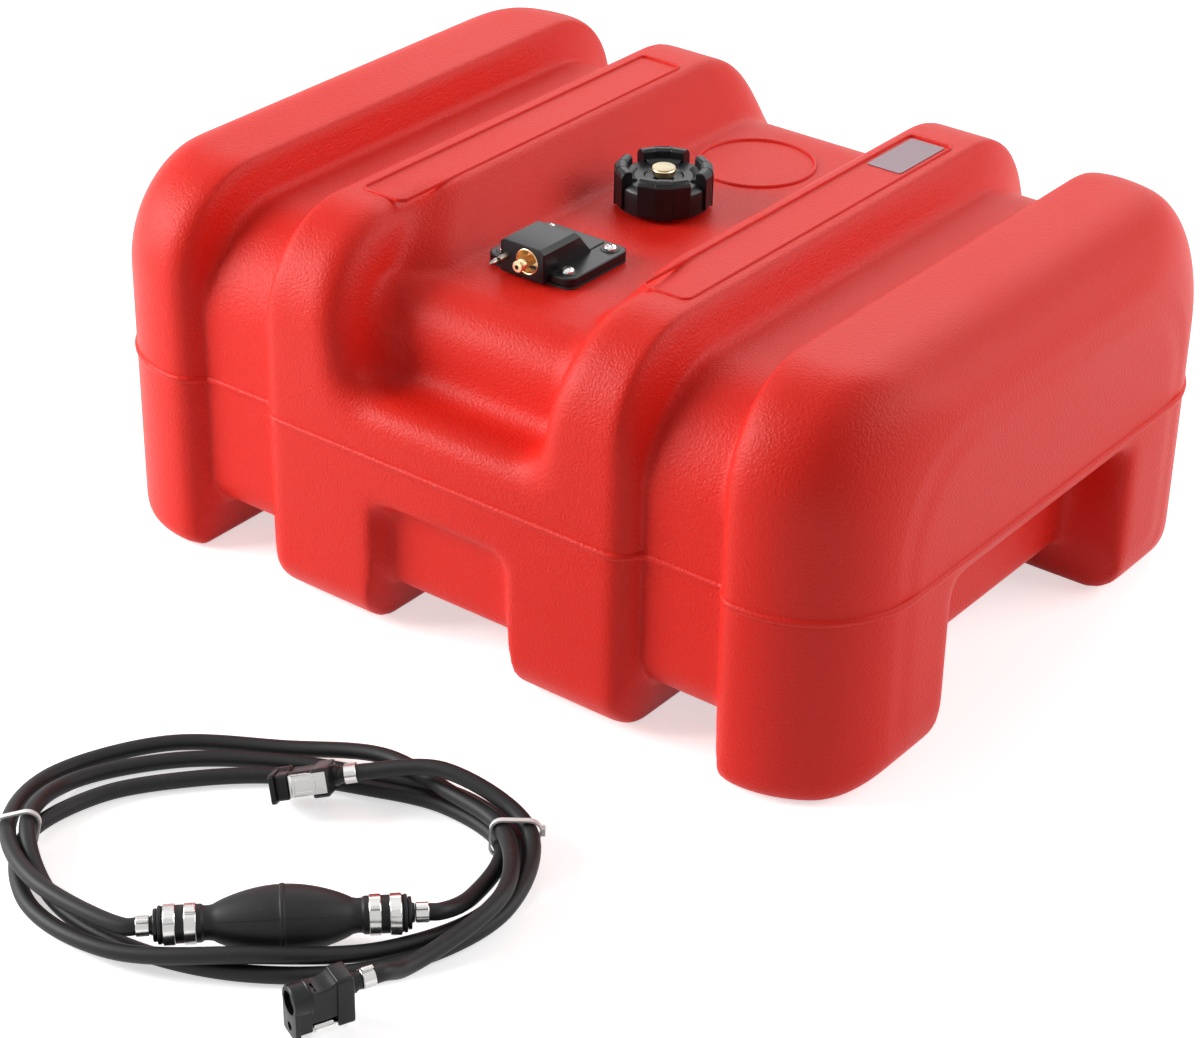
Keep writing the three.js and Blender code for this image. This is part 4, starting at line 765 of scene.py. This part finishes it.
def prism(name, outline, low, high, material, axis="z"):
    """A straight block with a flat outline in the plane XY, or YZ for axis x, or XZ for axis y."""
    n = len(outline)
    order = {
        "z": lambda a, b, c: (a, b, c),
        "x": lambda a, b, c: (c, a, b),
        "y": lambda a, b, c: (a, c, b),
    }[axis]
    verts = [Vector(order(a, b, c)) * MM for c in (low, high) for a, b in outline]
    faces = [tuple(range(n)), tuple(range(n, 2 * n))]
    faces += [(i, (i + 1) % n, (i + 1) % n + n, i + n) for i in range(n)]
    piece = build(name, verts, faces, material, smooth=False)
    weld(piece)
    soften(piece, 30)
    return piece


def carve(piece, *tools):
    """Cuts the tools' shapes out of the piece and removes the tools."""
    for tool in tools:
        cut = piece.modifiers.new("cut", "BOOLEAN")
        cut.operation = "DIFFERENCE"
        cut.solver = "EXACT"
        cut.object = tool
    depsgraph = bpy.context.evaluated_depsgraph_get()
    done = bpy.data.meshes.new_from_object(piece.evaluated_get(depsgraph))
    piece.modifiers.clear()
    piece.data = done
    for tool in tools:
        bpy.data.objects.remove(tool)
    soften(piece, 30)
    return piece


facing_front = Matrix.Rotation(math.radians(90), 4, "X")
left, right = FITTINGS_X - PLATE_WIDTH / 2, FITTINGS_X + PLATE_WIDTH / 2
plate_outline = rounded(left, right, PLATE_FRONT, PLATE_BACK, PLATE_CORNER)
plate = prism("plate", plate_outline, PLATE_LOW, PLATE_TOP, black)
bevel(plate, 1.0, 3)
block_outline = [
    (BLOCK_FRONT, PLATE_LOW), (GUSSET_BACK, PLATE_LOW), (GUSSET_BACK, GUSSET_TOP), (BLOCK_BACK, BLOCK_TOP),
    (BLOCK_FRONT, BLOCK_TOP),
]
left, right = FITTINGS_X - BLOCK_WIDTH / 2, FITTINGS_X + BLOCK_WIDTH / 2
block = prism("block", block_outline, left, right, black, "x")
bevel(block, 0.9, 3)
chamfers = []
for side in (-1, 1):
    far, near = (FITTINGS_X + side * (BLOCK_WIDTH / 2 + past) for past in (1, -BLOCK_CHAMFER))
    corner = [(far, BLOCK_TOP + 1), (near, BLOCK_TOP + 1), (far, BLOCK_TOP - BLOCK_CHAMFER)]
    start, end = BLOCK_FRONT - OVERRUN, GUSSET_BACK + OVERRUN
    chamfers.append(prism(f"block chamfer {side}", corner, start, end, black, "y"))
socket_floor, socket_mouth = -BLOCK_FRONT - SOCKET_DEPTH, -BLOCK_FRONT + 9
socket = lathe("socket", [
    (0, socket_floor), (SOCKET_RADIUS, socket_floor), (SOCKET_RADIUS, socket_mouth), (0, socket_mouth),
], 64, black, at=(SOCKET_X, 0, SOCKET_Z), rotation=facing_front)
block = carve(block, socket, *chamfers)
left, right = FITTINGS_X - STEP_HALF_WIDTH, FITTINGS_X + STEP_HALF_WIDTH
strip_outline = rounded(left, right, STEP_FRONT, STEP_BACK, STEP_CORNER)
strip = prism("moulded step", strip_outline, PLATE_TOP - 1, PLATE_TOP + STEP_HEIGHT, black)
bevel(strip, 0.4)
seats = [lathe(f"screw seat {i}", [
    (0, SEAT_LOW), (SEAT_RADIUS, SEAT_LOW), (SEAT_RADIUS, SEAT_TOP - 0.4), (SEAT_RADIUS - 0.4, SEAT_TOP),
    (0, SEAT_TOP),
], 32, black, at=(x, y, 0)) for i, (x, y) in enumerate(SCREW_PLACES)]
fitting = merge("withdrawal fitting", [plate, block, strip, *seats])
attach(fitting, "tank")
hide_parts("fitting_body")

# the brass outlet in its socket, its profile given by radius and distance towards the front
OUTLET_PROFILE = [
    (1.5, 119.5), (8.7, 119.5), (8.7, 130.9), (8.3, 131.1), (7.8, 130.6), (7.4, 125), (6, 122.2),
    (3.6, 121.6), (3.2, 122.5), (3.2, 132.8), (3.7, 133.4), (4, 134.4), (4, 136.4), (3.6, 137.4),
    (3.1, 137.8), (3.1, 138.8), (3.7, 139.3), (3.9, 140.2), (3.4, 140.9), (1.5, 141),
]
outlet = lathe("outlet nipple", OUTLET_PROFILE, 64, brass, at=(SOCKET_X, 0, SOCKET_Z), rotation=facing_front)
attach(outlet, "tank")
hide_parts("fitting_nipple")

# the steel guide pin beside it
STEEL_COLOUR = (0.62, 0.61, 0.6)
PIN_COLOUR = (0.3, 0.27, 0.24)
PIN_PROFILE = [
    (0, 117), (2, 117), (2, 138), (1.6, 138.6), (1.6, 140), (2, 140.6), (2, 143.2), (1.3, 146.4),
    (0.5, 147.8), (0, 148),
]
steel = plastic("steel", STEEL_COLOUR, roughness=0.22, grain=0.00002, size=2600, mottle=0.08, metallic=1)
dark_steel = plastic("pin steel", PIN_COLOUR, roughness=0.25, grain=0.00002, size=2600, mottle=0.08,
                     metallic=1)
pin = lathe("guide pin", PIN_PROFILE, 32, dark_steel, at=(PIN_X, 0, SOCKET_Z), rotation=facing_front)
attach(pin, "tank")
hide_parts("fitting_guide_pin")

# four steel screws with crossed slots, each turned a little differently
SCREW_END, SHANK_RADIUS, SCREW_SEAT = 224.5, 2, PLATE_TOP + 0.5
HEAD_RADIUS, SLOT_HALF_LENGTH, SLOT_HALF_WIDTH, SLOT_FLOOR = 4.5, 2.6, 0.55, SCREW_SEAT + 0.9
SCREW_PROFILE = [
    (0, SCREW_END), (SHANK_RADIUS, SCREW_END), (SHANK_RADIUS, SCREW_SEAT), (HEAD_RADIUS, SCREW_SEAT),
    (HEAD_RADIUS, SCREW_SEAT + 0.9), (4.1, SCREW_SEAT + 1.7), (3.2, SCREW_SEAT + 2.3),
    (1.8, SCREW_SEAT + 2.6), (0, SCREW_SEAT + 2.7),
]
for i, (x, y) in enumerate(SCREW_PLACES):
    head = lathe(f"screw {i}", SCREW_PROFILE, 40, steel, at=(x, y, 0))
    slots = []
    for k in (0, 1):
        outline = rounded(-SLOT_HALF_LENGTH, SLOT_HALF_LENGTH, -SLOT_HALF_WIDTH, SLOT_HALF_WIDTH, 0.3, 2)
        slot = prism(f"slot {i} {k}", outline, SLOT_FLOOR, SCREW_SEAT + 4, steel)
        turned_by = Matrix.Rotation(math.radians(35 * i + 90 * k), 4, "Z")
        slot.data.transform(Matrix.Translation(Vector((x, y, 0)) * MM) @ turned_by)
        slots.append(slot)
    head = carve(head, *slots)
    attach(head, "tank")
    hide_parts(f"fitting_screw_{i + 1}")

coat("pickup_tube", black)
coat("pickup_strainer", plastic("strainer", (0.6, 0.57, 0.5), roughness=0.8, grain=0.0002, size=1500))


# The blank label: a thin printed film, left bare, on the back of the right ridge.
LABEL_LEFT, LABEL_RIGHT, LABEL_FRONT, LABEL_BACK, LABEL_CORNER = 99, 125, 91, 146, 2
LABEL_LOW, LABEL_TOP = 267.1, 268.1
LABEL_COLOUR = (0.23, 0.13, 0.16)
film = plastic("label film", LABEL_COLOUR, roughness=0.35, grain=0.00002, size=2500, mottle=0.1)
label_outline = rounded(LABEL_LEFT, LABEL_RIGHT, LABEL_FRONT, LABEL_BACK, LABEL_CORNER)
label = prism("label", label_outline, LABEL_LOW, LABEL_TOP, film)
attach(label, "tank")
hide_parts("blank_label")


# The primer bulb: thick black rubber with a seam ring and a lengthwise seam, two collars with steel
# ear clamps, and a black check valve in each collar. Places run along the bulb from its middle.
BULB_RADIUS, BULB_HALF, BULB_NECK, BULB_FULLNESS = 19.6, 39, 9.8, 0.8
COLLAR_RADIUS, COLLAR_START, COLLAR_END, COLLAR_BORE, COLLAR_DEPTH = 10.8, 45, 69, 7.6, 55
BULB_PLACES = (1.6, 4, 7, 10, 13, 16, 19, 22, 25, 28, 31, 34, 36.5, 38.5)
SEAM_REACH, SEAM_POINTS, SEAM_PROUD, SEAM_ANGLE = 38, 41, 0.35, 52
SEAM_SECTION = [(-0.45, 0.9), (-0.3, 0), (0.3, 0), (0.45, 0.9)]
bulb_frame = Matrix.Translation(BULB_CENTRE) @ Matrix.Rotation(math.radians(BULB_ANGLE), 4, "Z")
lay = Matrix.Rotation(math.radians(90), 4, "Y")


def bulb_radius_at(place):
    """Radius of the bulb's skin at a distance from its middle."""
    share = max(math.cos(math.pi / 2 * min(abs(place) / BULB_HALF, 1)), 0)
    return BULB_NECK + (BULB_RADIUS - BULB_NECK) * share ** BULB_FULLNESS


half_profile = [
    (BULB_RADIUS + 0.55, 0.9), (bulb_radius_at(1.5) + 0.1, 1.4),
    *[(bulb_radius_at(place), place) for place in BULB_PLACES],
    (BULB_NECK, 41), (BULB_NECK, 43.5), (COLLAR_RADIUS, COLLAR_START),
    (COLLAR_RADIUS, 66), (COLLAR_RADIUS - 0.6, 66.6), (COLLAR_RADIUS, 67.2), (COLLAR_RADIUS, 68.6),
    (COLLAR_RADIUS - 0.5, COLLAR_END), (COLLAR_BORE, COLLAR_END), (COLLAR_BORE, COLLAR_DEPTH),
]
bulb_profile = [(radius, -place) for radius, place in half_profile[::-1]] + half_profile
bulb = lathe("bulb", bulb_profile, 72, rubber, rotation=lay, angle=30)
seams = []
for flip in (1, -1):
    verts, faces = [], []
    for place in np.linspace(-SEAM_REACH, SEAM_REACH, SEAM_POINTS):
        crest = flip * (bulb_radius_at(place) + SEAM_PROUD)
        verts += [(place * MM, across * MM, (crest - flip * down) * MM) for across, down in SEAM_SECTION]
    m = len(SEAM_SECTION)
    for i in range(SEAM_POINTS - 1):
        for here in range(i * m, i * m + m - 1):
            faces.append((here, here + 1, here + m + 1, here + m))
    seam = build(f"bulb seam {flip}", verts, faces, rubber, angle=60)
    seam.data.transform(Matrix.Rotation(math.radians(SEAM_ANGLE), 4, "X"))
    seams.append(seam)
bulb = merge("primer bulb", [bulb, *seams])
bulb.data.transform(bulb_frame)
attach(bulb, "fuel_line")
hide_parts("primer_bulb")


# steel ear clamps, two on each collar and one where each hose meets its fitting
BAND_THICKNESS, EAR_WIDTH, EAR_WIDTH_SHARE, EAR_HEIGHT = 0.75, 5.0, 0.5, 2.5
LAP_START, LAP_END, LAP_PROUD = 195, 262, 0.5
COLLAR_CLAMP_RADIUS, COLLAR_CLAMP_WIDTH = COLLAR_RADIUS + 0.15, 6.5
COLLAR_CLAMPS = [(-62.5, 40), (-51, 15), (51, 30), (62.5, 50)]
HOSE_CLAMP_RADIUS, HOSE_CLAMP_WIDTH, HOSE_CLAMP_PLACE, HOSE_CLAMP_TURN = 5.15, 7.4, 77.25, 30


def ear_clamp(name, inner, width, place, turned_by, where):
    """A steel band with its pinched ear and the overlapping end of the band."""
    outer, half = inner + BAND_THICKNESS, width / 2
    band = lathe(f"{name} band", [
        (inner, -half), (outer - 0.2, -half), (outer, 0.25 - half), (outer, half - 0.25),
        (outer - 0.2, half), (inner, half),
    ], 56, steel, rotation=lay)
    lap = lathe(f"{name} lap", [
        (outer - 0.1, 0.2 - half), (outer + LAP_PROUD, 0.2 - half), (outer + LAP_PROUD, half - 0.2),
        (outer - 0.1, half - 0.2),
    ], 14, steel, rotation=lay, start=LAP_START, end=LAP_END)
    side = min(EAR_WIDTH, inner * EAR_WIDTH_SHARE) / 2
    top = outer + EAR_HEIGHT
    right_side = [(side - 0.7, top), (side + 0.2, top - 0.5), (side - 0.5, outer + 0.9), (side, outer - 0.3)]
    outline = [(-across, height) for across, height in right_side[::-1]] + right_side
    ear = bevel(prism(f"{name} ear", outline, 0.3 - half, half - 0.3, steel, "x"), 0.3)
    clamp = merge(name, [band, lap, ear])
    about = Matrix.Rotation(math.radians(turned_by), 4, "X")
    clamp.data.transform(where @ Matrix.Translation((place * MM, 0, 0)) @ about)
    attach(clamp, "fuel_line")
    return clamp


for i, (place, turned_by) in enumerate(COLLAR_CLAMPS):
    clamp = ear_clamp(f"bulb clamp {i + 1}", COLLAR_CLAMP_RADIUS, COLLAR_CLAMP_WIDTH, place, turned_by,
                      bulb_frame)
    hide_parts(f"bulb_clamp_{i + 1}")

# a black check valve in each collar, with a steel ball inside
VALVE_PROFILE = [
    (1.8, 50), (7.2, 50.5), (7.2, 69.2), (9.0, 69.3), (9.3, 69.6), (9.3, 71), (9.0, 71.4),
    (6.2, 71.5), (5.6, 72), (5.4, 73), (1.8, 73),
]
hose_clamps = {}
valves = {}
for name, sign in (("left", -1), ("right", 1)):
    clamp = ear_clamp(f"bulb hose clamp {name}", HOSE_CLAMP_RADIUS, HOSE_CLAMP_WIDTH,
                      sign * HOSE_CLAMP_PLACE, HOSE_CLAMP_TURN, bulb_frame)
    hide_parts(f"hose_clamp_bulb_{name}")
    hose_clamps[name] = clamp
    valve = lathe(f"check valve {name}", VALVE_PROFILE, 48, black, rotation=lay)
    if sign < 0:
        valve.data.transform(Matrix.Rotation(math.pi, 4, "Z"))
    valve.data.transform(bulb_frame)
    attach(valve, "fuel_line")
    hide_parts(f"check_valve_{name}")
    valves[name] = valve
    coat(f"check_ball_{name}", steel)


# The quick connectors: black moulded bodies with a flanged face, a socket, a hole for the guide pin
# and a sprung steel latch plate. The engine's stands on its edge and the tank's lies on its side.
# Places run along X from the open face to the hose, with the latch below.
CONNECTOR_LENGTH = 41.5
ENGINE_ROLL, TANK_ROLL = 0, -114
SOCKET_BORE, SOCKET_END, BORE_START, BORE_SIDES = 7, 14, -5, 48
PIN_HOLE_RADIUS, PIN_HOLE_END, PIN_HOLE_DROP = 2.6, 7, -16
BARREL_PROFILE = [
    (0, 0), (8.9, 0), (9.5, 0.6), (9.5, 9), (9.9, 9.4), (9.9, 10.4), (9.4, 10.8), (8.6, 11.2), (0, 11.2),
]
FACE_GROOVE_PROFILE = [(7.7, -1), (8.3, -1), (8.3, 0.8), (7.7, 0.8)]
FLANGE_OUTLINE, FLANGE_BACK = rounded(-9, 9, -22.5, 0, 2.5), 3
FRONT_OUTLINE, FRONT_START, FRONT_END = rounded(-7.8, 7.8, -19.5, 0, 2), 2.7, 10.5
SADDLE_HALF_WIDTH = 7.5
SADDLE_OUTLINE = [
    (10, -13.6), (27, -13.6), (27, 10), (25.5, 9.6), (23.5, 8.2), (21, 6.9), (18, 6.2), (14, 6.4),
    (11.5, 7.2), (10, 7.4),
]
REAR_OUTLINE, REAR_START, REAR_END = rounded(-8.8, 8.8, -20.5, 10.5, 2.5), 25, 35
RECESS_OUTLINE, RECESS_START, RECESS_END = [(-7.1, -40), (7.1, -40), (7.1, -16.4), (-7.1, -16.4)], 10, 34.1
HOSE_NECK_PROFILE = [
    (0, 34), (6.2, 34), (6.2, 37.6), (5.6, 38), (5.6, 38.6), (5.2, 39), (5.2, 41.2), (0, 41.2),
]
SEAL_PROFILE = [(3.6, 3), (6.9, 3), (6.9, 5), (3.6, 5)]
LATCH_HALF_WIDTH, CHEEK_THICKNESS = 6.8, 1.2
LATCH_OUTLINE = [(11.4, -20.2), (12.6, -20.2), (12.6, -18.6), (33.8, -18.6), (33.8, -17.4), (11.4, -17.4)]
CHEEK_OUTLINE = [(11.4, -18.6), (23, -18.6), (23, -15.9), (21.8, -15.4), (11.4, -15.4)]
DENT_OUTLINE, DENT_LOW, DENT_TOP = rounded(14.5, 27, -4.2, 4.2, 1.5), -19.1, -18.5
TAIL_CLAMP_PLACE, TAIL_CLAMP_TURN = CONNECTOR_LENGTH + 4.0, 10


def bore(name, radius, start, end, drop=0):
    """A round tool along X that cuts a hole from one place to another."""
    profile = [(0, start), (radius, start), (radius, end), (0, end)]
    return lathe(name, profile, BORE_SIDES, black, at=(0, 0, drop), rotation=lay)


def socket_tools(name):
    """The tools that cut the socket and the guide pin's hole."""
    return [
        bore(f"{name} socket", SOCKET_BORE, BORE_START, SOCKET_END),
        bore(f"{name} pin hole", PIN_HOLE_RADIUS, BORE_START, PIN_HOLE_END, PIN_HOLE_DROP),
    ]


def connector_body(name):
    """The black moulded body with its seal."""
    barrel = lathe(f"{name} barrel", BARREL_PROFILE, 64, black, rotation=lay)
    groove = lathe(f"{name} face groove", FACE_GROOVE_PROFILE, 48, black, rotation=lay)
    barrel = carve(barrel, groove, *socket_tools(f"{name} barrel"))
    flange = bevel(prism(f"{name} flange", FLANGE_OUTLINE, 0, FLANGE_BACK, black, "x"), 0.6, 3)
    flange = carve(flange, *socket_tools(f"{name} flange"))
    front = bevel(prism(f"{name} front", FRONT_OUTLINE, FRONT_START, FRONT_END, black, "x"), 0.8, 3)
    front = carve(front, *socket_tools(f"{name} front"))
    middle = prism(f"{name} middle", SADDLE_OUTLINE, -SADDLE_HALF_WIDTH, SADDLE_HALF_WIDTH, black, "y")
    middle = carve(bevel(middle, 1.8, 4), bore(f"{name} middle socket", SOCKET_BORE, BORE_START, SOCKET_END))
    rear = bevel(prism(f"{name} rear", REAR_OUTLINE, REAR_START, REAR_END, black, "x"), 1.1, 3)
    rear = carve(rear, prism(f"{name} rear recess", RECESS_OUTLINE, RECESS_START, RECESS_END, black, "x"))
    neck = lathe(f"{name} neck", HOSE_NECK_PROFILE, 40, black, rotation=lay)
    seal = bevel(lathe(f"{name} seal", SEAL_PROFILE, 40, seal_rubber, rotation=lay), 0.6)
    return merge(f"{name} connector", [barrel, flange, front, middle, rear, neck, seal])


def connector_latch(name):
    """The steel plate that springs over the outlet's collar, with its lip, dent and two cheeks."""
    sheet = prism(f"{name} latch plate", LATCH_OUTLINE, -LATCH_HALF_WIDTH, LATCH_HALF_WIDTH, steel, "y")
    bevel(sheet, 0.35)
    dent = bevel(prism(f"{name} latch dent", DENT_OUTLINE, DENT_LOW, DENT_TOP, steel), 0.4, 3)
    cheeks = []
    for side in (-1, 1):
        low, high = sorted((side * LATCH_HALF_WIDTH, side * (LATCH_HALF_WIDTH - CHEEK_THICKNESS)))
        cheek = prism(f"{name} latch cheek {side}", CHEEK_OUTLINE, low, high, steel, "y")
        cheeks.append(bevel(cheek, 0.3))
    return merge(f"{name} latch", [sheet, dent, *cheeks])


def quick_connector(name, exit_point, turned_by, pitched, rolled):
    """One connector at the end of its hose, with its latch and the clamp on the hose."""
    where = (Matrix.Translation(exit_point) @ Matrix.Rotation(math.radians(turned_by), 4, "Z")
             @ Matrix.Rotation(math.radians(-pitched), 4, "Y") @ Matrix.Rotation(math.radians(rolled), 4, "X")
             @ Matrix.Translation((-CONNECTOR_LENGTH * MM, 0, 0)))
    body = connector_body(name)
    body.data.transform(where)
    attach(body, "fuel_line")
    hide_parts(f"{name}_connector")
    latch = connector_latch(name)
    latch.data.transform(where)
    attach(latch, f"{name}_catch")
    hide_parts(f"{name}_latch")
    clamp = ear_clamp(f"{name} hose clamp", HOSE_CLAMP_RADIUS, HOSE_CLAMP_WIDTH, TAIL_CLAMP_PLACE,
                      TAIL_CLAMP_TURN, where)
    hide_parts(f"hose_clamp_{name}")
    return body, latch, clamp


engine_pieces = quick_connector("engine", ENGINE_EXIT, ENGINE_TURN, ENGINE_PITCH, ENGINE_ROLL)
tank_pieces = quick_connector("tank", TANK_EXIT, TANK_TURN, TANK_PITCH, TANK_ROLL)


# The cable ties: white nylon straps, one at each end of the ring, each with its ratchet head.
# A tie's section across the hoses gives the distance inwards from the ring's line and the height.
TIE_THICKNESS, TIE_WIDTH, TIE_CLEARANCE, TIE_HEAD, TIE_HEAD_THICKNESS, TIE_HEAD_GAP = 1.2, 3.2, 1.5, 5, 3, 0.2
TIE_POINTS = 36
TIE_COLOUR = (0.82, 0.82, 0.8)
HOSE_STEP, HOSE_LEVEL = 10, 5.3
nylon = plastic("tie nylon", TIE_COLOUR, roughness=0.4, grain=0.00002, size=2500, mottle=0.03)


def tight_loop(spots, reach):
    """Points of a band drawn tight round circles, all turned the same way."""
    points = sorted((x + reach * math.cos(a), z + reach * math.sin(a)) for x, z in spots
                    for a in np.linspace(0, 2 * math.pi, TIE_POINTS, endpoint=False))
    loop = []
    for side in (points, points[::-1]):
        run = []
        for p in side:
            while len(run) > 1 and ((run[-1][0] - run[-2][0]) * (p[1] - run[-2][1])
                                    <= (run[-1][1] - run[-2][1]) * (p[0] - run[-2][0])):
                run.pop()
            run.append(p)
        loop += run[:-1]
    return loop


def cable_tie(name, angle):
    """A strap round all the hoses at one station of the ring, with its head on the outside."""
    spots = []
    for start, lanes, layers in ((ENGINE_START, ENGINE_LANES, ENGINE_LAYERS),
                                 (TANK_START, TANK_LANES, TANK_LAYERS)):
        spots += [(lane * HOSE_STEP, HOSE_LEVEL + layer * HOSE_STEP)
                  for i, (lane, layer) in enumerate(zip(lanes, layers))
                  if (start - i * STATION_ANGLE - angle) % 360 == 0]
    inner = HOSE_STEP / 2 + TIE_CLEARANCE
    outline = tight_loop(spots, inner + TIE_THICKNESS)
    strap = prism(f"{name} strap", outline, -TIE_WIDTH / 2, TIE_WIDTH / 2, nylon, "y")
    hole = prism(f"{name} hole", tight_loop(spots, inner), -TIE_WIDTH, TIE_WIDTH, nylon, "y")
    strap = carve(strap, hole)
    outermost = min(spots)
    left, level = outermost[0] - inner, outermost[1]
    half = TIE_HEAD / 2
    outline = rounded(left - TIE_HEAD_THICKNESS, left - TIE_HEAD_GAP, level - half, level + half, 0.5, 2)
    head = bevel(prism(f"{name} head", outline, -half, half, nylon, "y"), 0.3, 2)
    tie = merge(name.replace("_", " "), [strap, head])
    base = coil_point(angle, 0, 0)
    facing = COIL_ANGLE + (180 if math.cos(math.radians(angle)) > 0 else 0)
    turned_by = Matrix.Rotation(math.radians(facing), 4, "Z")
    tie.data.transform(Matrix.Translation((base.x, base.y, 0)) @ turned_by)
    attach(tie, "fuel_line")
    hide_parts(name)
    return tie


ties = {"left": cable_tie("tie_left", 180), "right": cable_tie("tie_right", 0)}

# each hose's route and the pieces on it are looked up together
for name, start, side, others in (("engine", bulb_left_end, "left", engine_pieces),
                                  ("tank", bulb_right_end, "right", tank_pieces)):
    others = [*others, hose_clamps[side], valves[side], ties[side]]
    hose, route = hoses[name]


# The setting: a plain white floor and soft studio lamps, the main one high on the left.
FLOOR_HALF, FLOOR_COLOUR, FLOOR_ROUGHNESS, FLOOR_SPECULAR, FLOOR_GLOW = 6, (0.9, 0.9, 0.9, 1), 0.7, 0.2, 0.6
WHITE = (1, 1, 1, 1)
SKY_COLOUR, SKY_STRENGTH = (0.95, 0.97, 1, 1), 0.07


def flat(name, half, material, at):
    """A level square sheet."""
    verts = [(-half, -half, 0), (half, -half, 0), (half, half, 0), (-half, half, 0)]
    piece = build(name, verts, [(0, 1, 2, 3)], material, smooth=False)
    piece.location = at
    return piece


def seen_by_eye(nodes, links, path):
    """One where a ray comes from the eye, a reflection or glass, and zero where it lights a surface."""
    total = path.outputs["Is Camera Ray"]
    for kind in ("Is Glossy Ray", "Is Transmission Ray"):
        most = nodes.new("ShaderNodeMath")
        most.operation = "MAXIMUM"
        links.new(total, most.inputs[0])
        links.new(path.outputs[kind], most.inputs[1])
        total = most.outputs[0]
    return total


floor_white = bpy.data.materials.new("floor")
floor_white.use_nodes = True
nodes, links = floor_white.node_tree.nodes, floor_white.node_tree.links
glow = nodes.new("ShaderNodeMath")
glow.operation = "MULTIPLY"
glow.inputs[1].default_value = FLOOR_GLOW
links.new(seen_by_eye(nodes, links, nodes.new("ShaderNodeLightPath")), glow.inputs[0])
shader = nodes["Principled BSDF"]
links.new(glow.outputs[0], shader.inputs["Emission Strength"])
shader.inputs["Emission Color"].default_value = WHITE
shader.inputs["Base Color"].default_value = FLOOR_COLOUR
shader.inputs["Roughness"].default_value = FLOOR_ROUGHNESS
shader.inputs["Specular IOR Level"].default_value = FLOOR_SPECULAR
floor = flat("floor", FLOOR_HALF, floor_white, (0, 0, 0))

world = bpy.data.worlds.new("world")
bpy.context.scene.world = world
world.use_nodes = True
nodes, links = world.node_tree.nodes, world.node_tree.links
background = nodes["Background"]
background.inputs["Color"].default_value = SKY_COLOUR
background.inputs["Strength"].default_value = SKY_STRENGTH
paper = nodes.new("ShaderNodeBackground")
paper.inputs["Color"].default_value = WHITE
paper.inputs["Strength"].default_value = 1
choice = nodes.new("ShaderNodeMixShader")
links.new(seen_by_eye(nodes, links, nodes.new("ShaderNodeLightPath")), choice.inputs[0])
links.new(background.outputs["Background"], choice.inputs[1])
links.new(paper.outputs["Background"], choice.inputs[2])
links.new(choice.outputs["Shader"], nodes["World Output"].inputs["Surface"])


def lamp(name, at, target, size, power):
    """A rectangular soft lamp, placed in metres and turned to its target."""
    data = bpy.data.lights.new(name, "AREA")
    data.shape = "RECTANGLE"
    data.size, data.size_y = size
    data.energy = power
    light = bpy.data.objects.new(name, data)
    light.location = at
    light.rotation_mode = "QUATERNION"
    light.rotation_quaternion = (Vector(target) - Vector(at)).to_track_quat("-Z", "Y")
    bpy.context.scene.collection.objects.link(light)
    return light


lamp("front_left", at=(-2.2, -1.7, 1.3), target=(0, 0, 0.15), size=(1.5, 1.5), power=104)
lamp("right", at=(2.0, 1.3, 1.5), target=(0, 0, 0.15), size=(2.2, 1.8), power=46)
lamp("back", at=(-0.7, 1.9, 1.7), target=(0, 0, 0.2), size=(2.2, 1.2), power=21)
lamp("above", at=(-0.4, -0.5, 2.4), target=(0, 0, 0.2), size=(2.6, 2.6), power=9)

bpy.context.scene.view_settings.view_transform = "Standard"
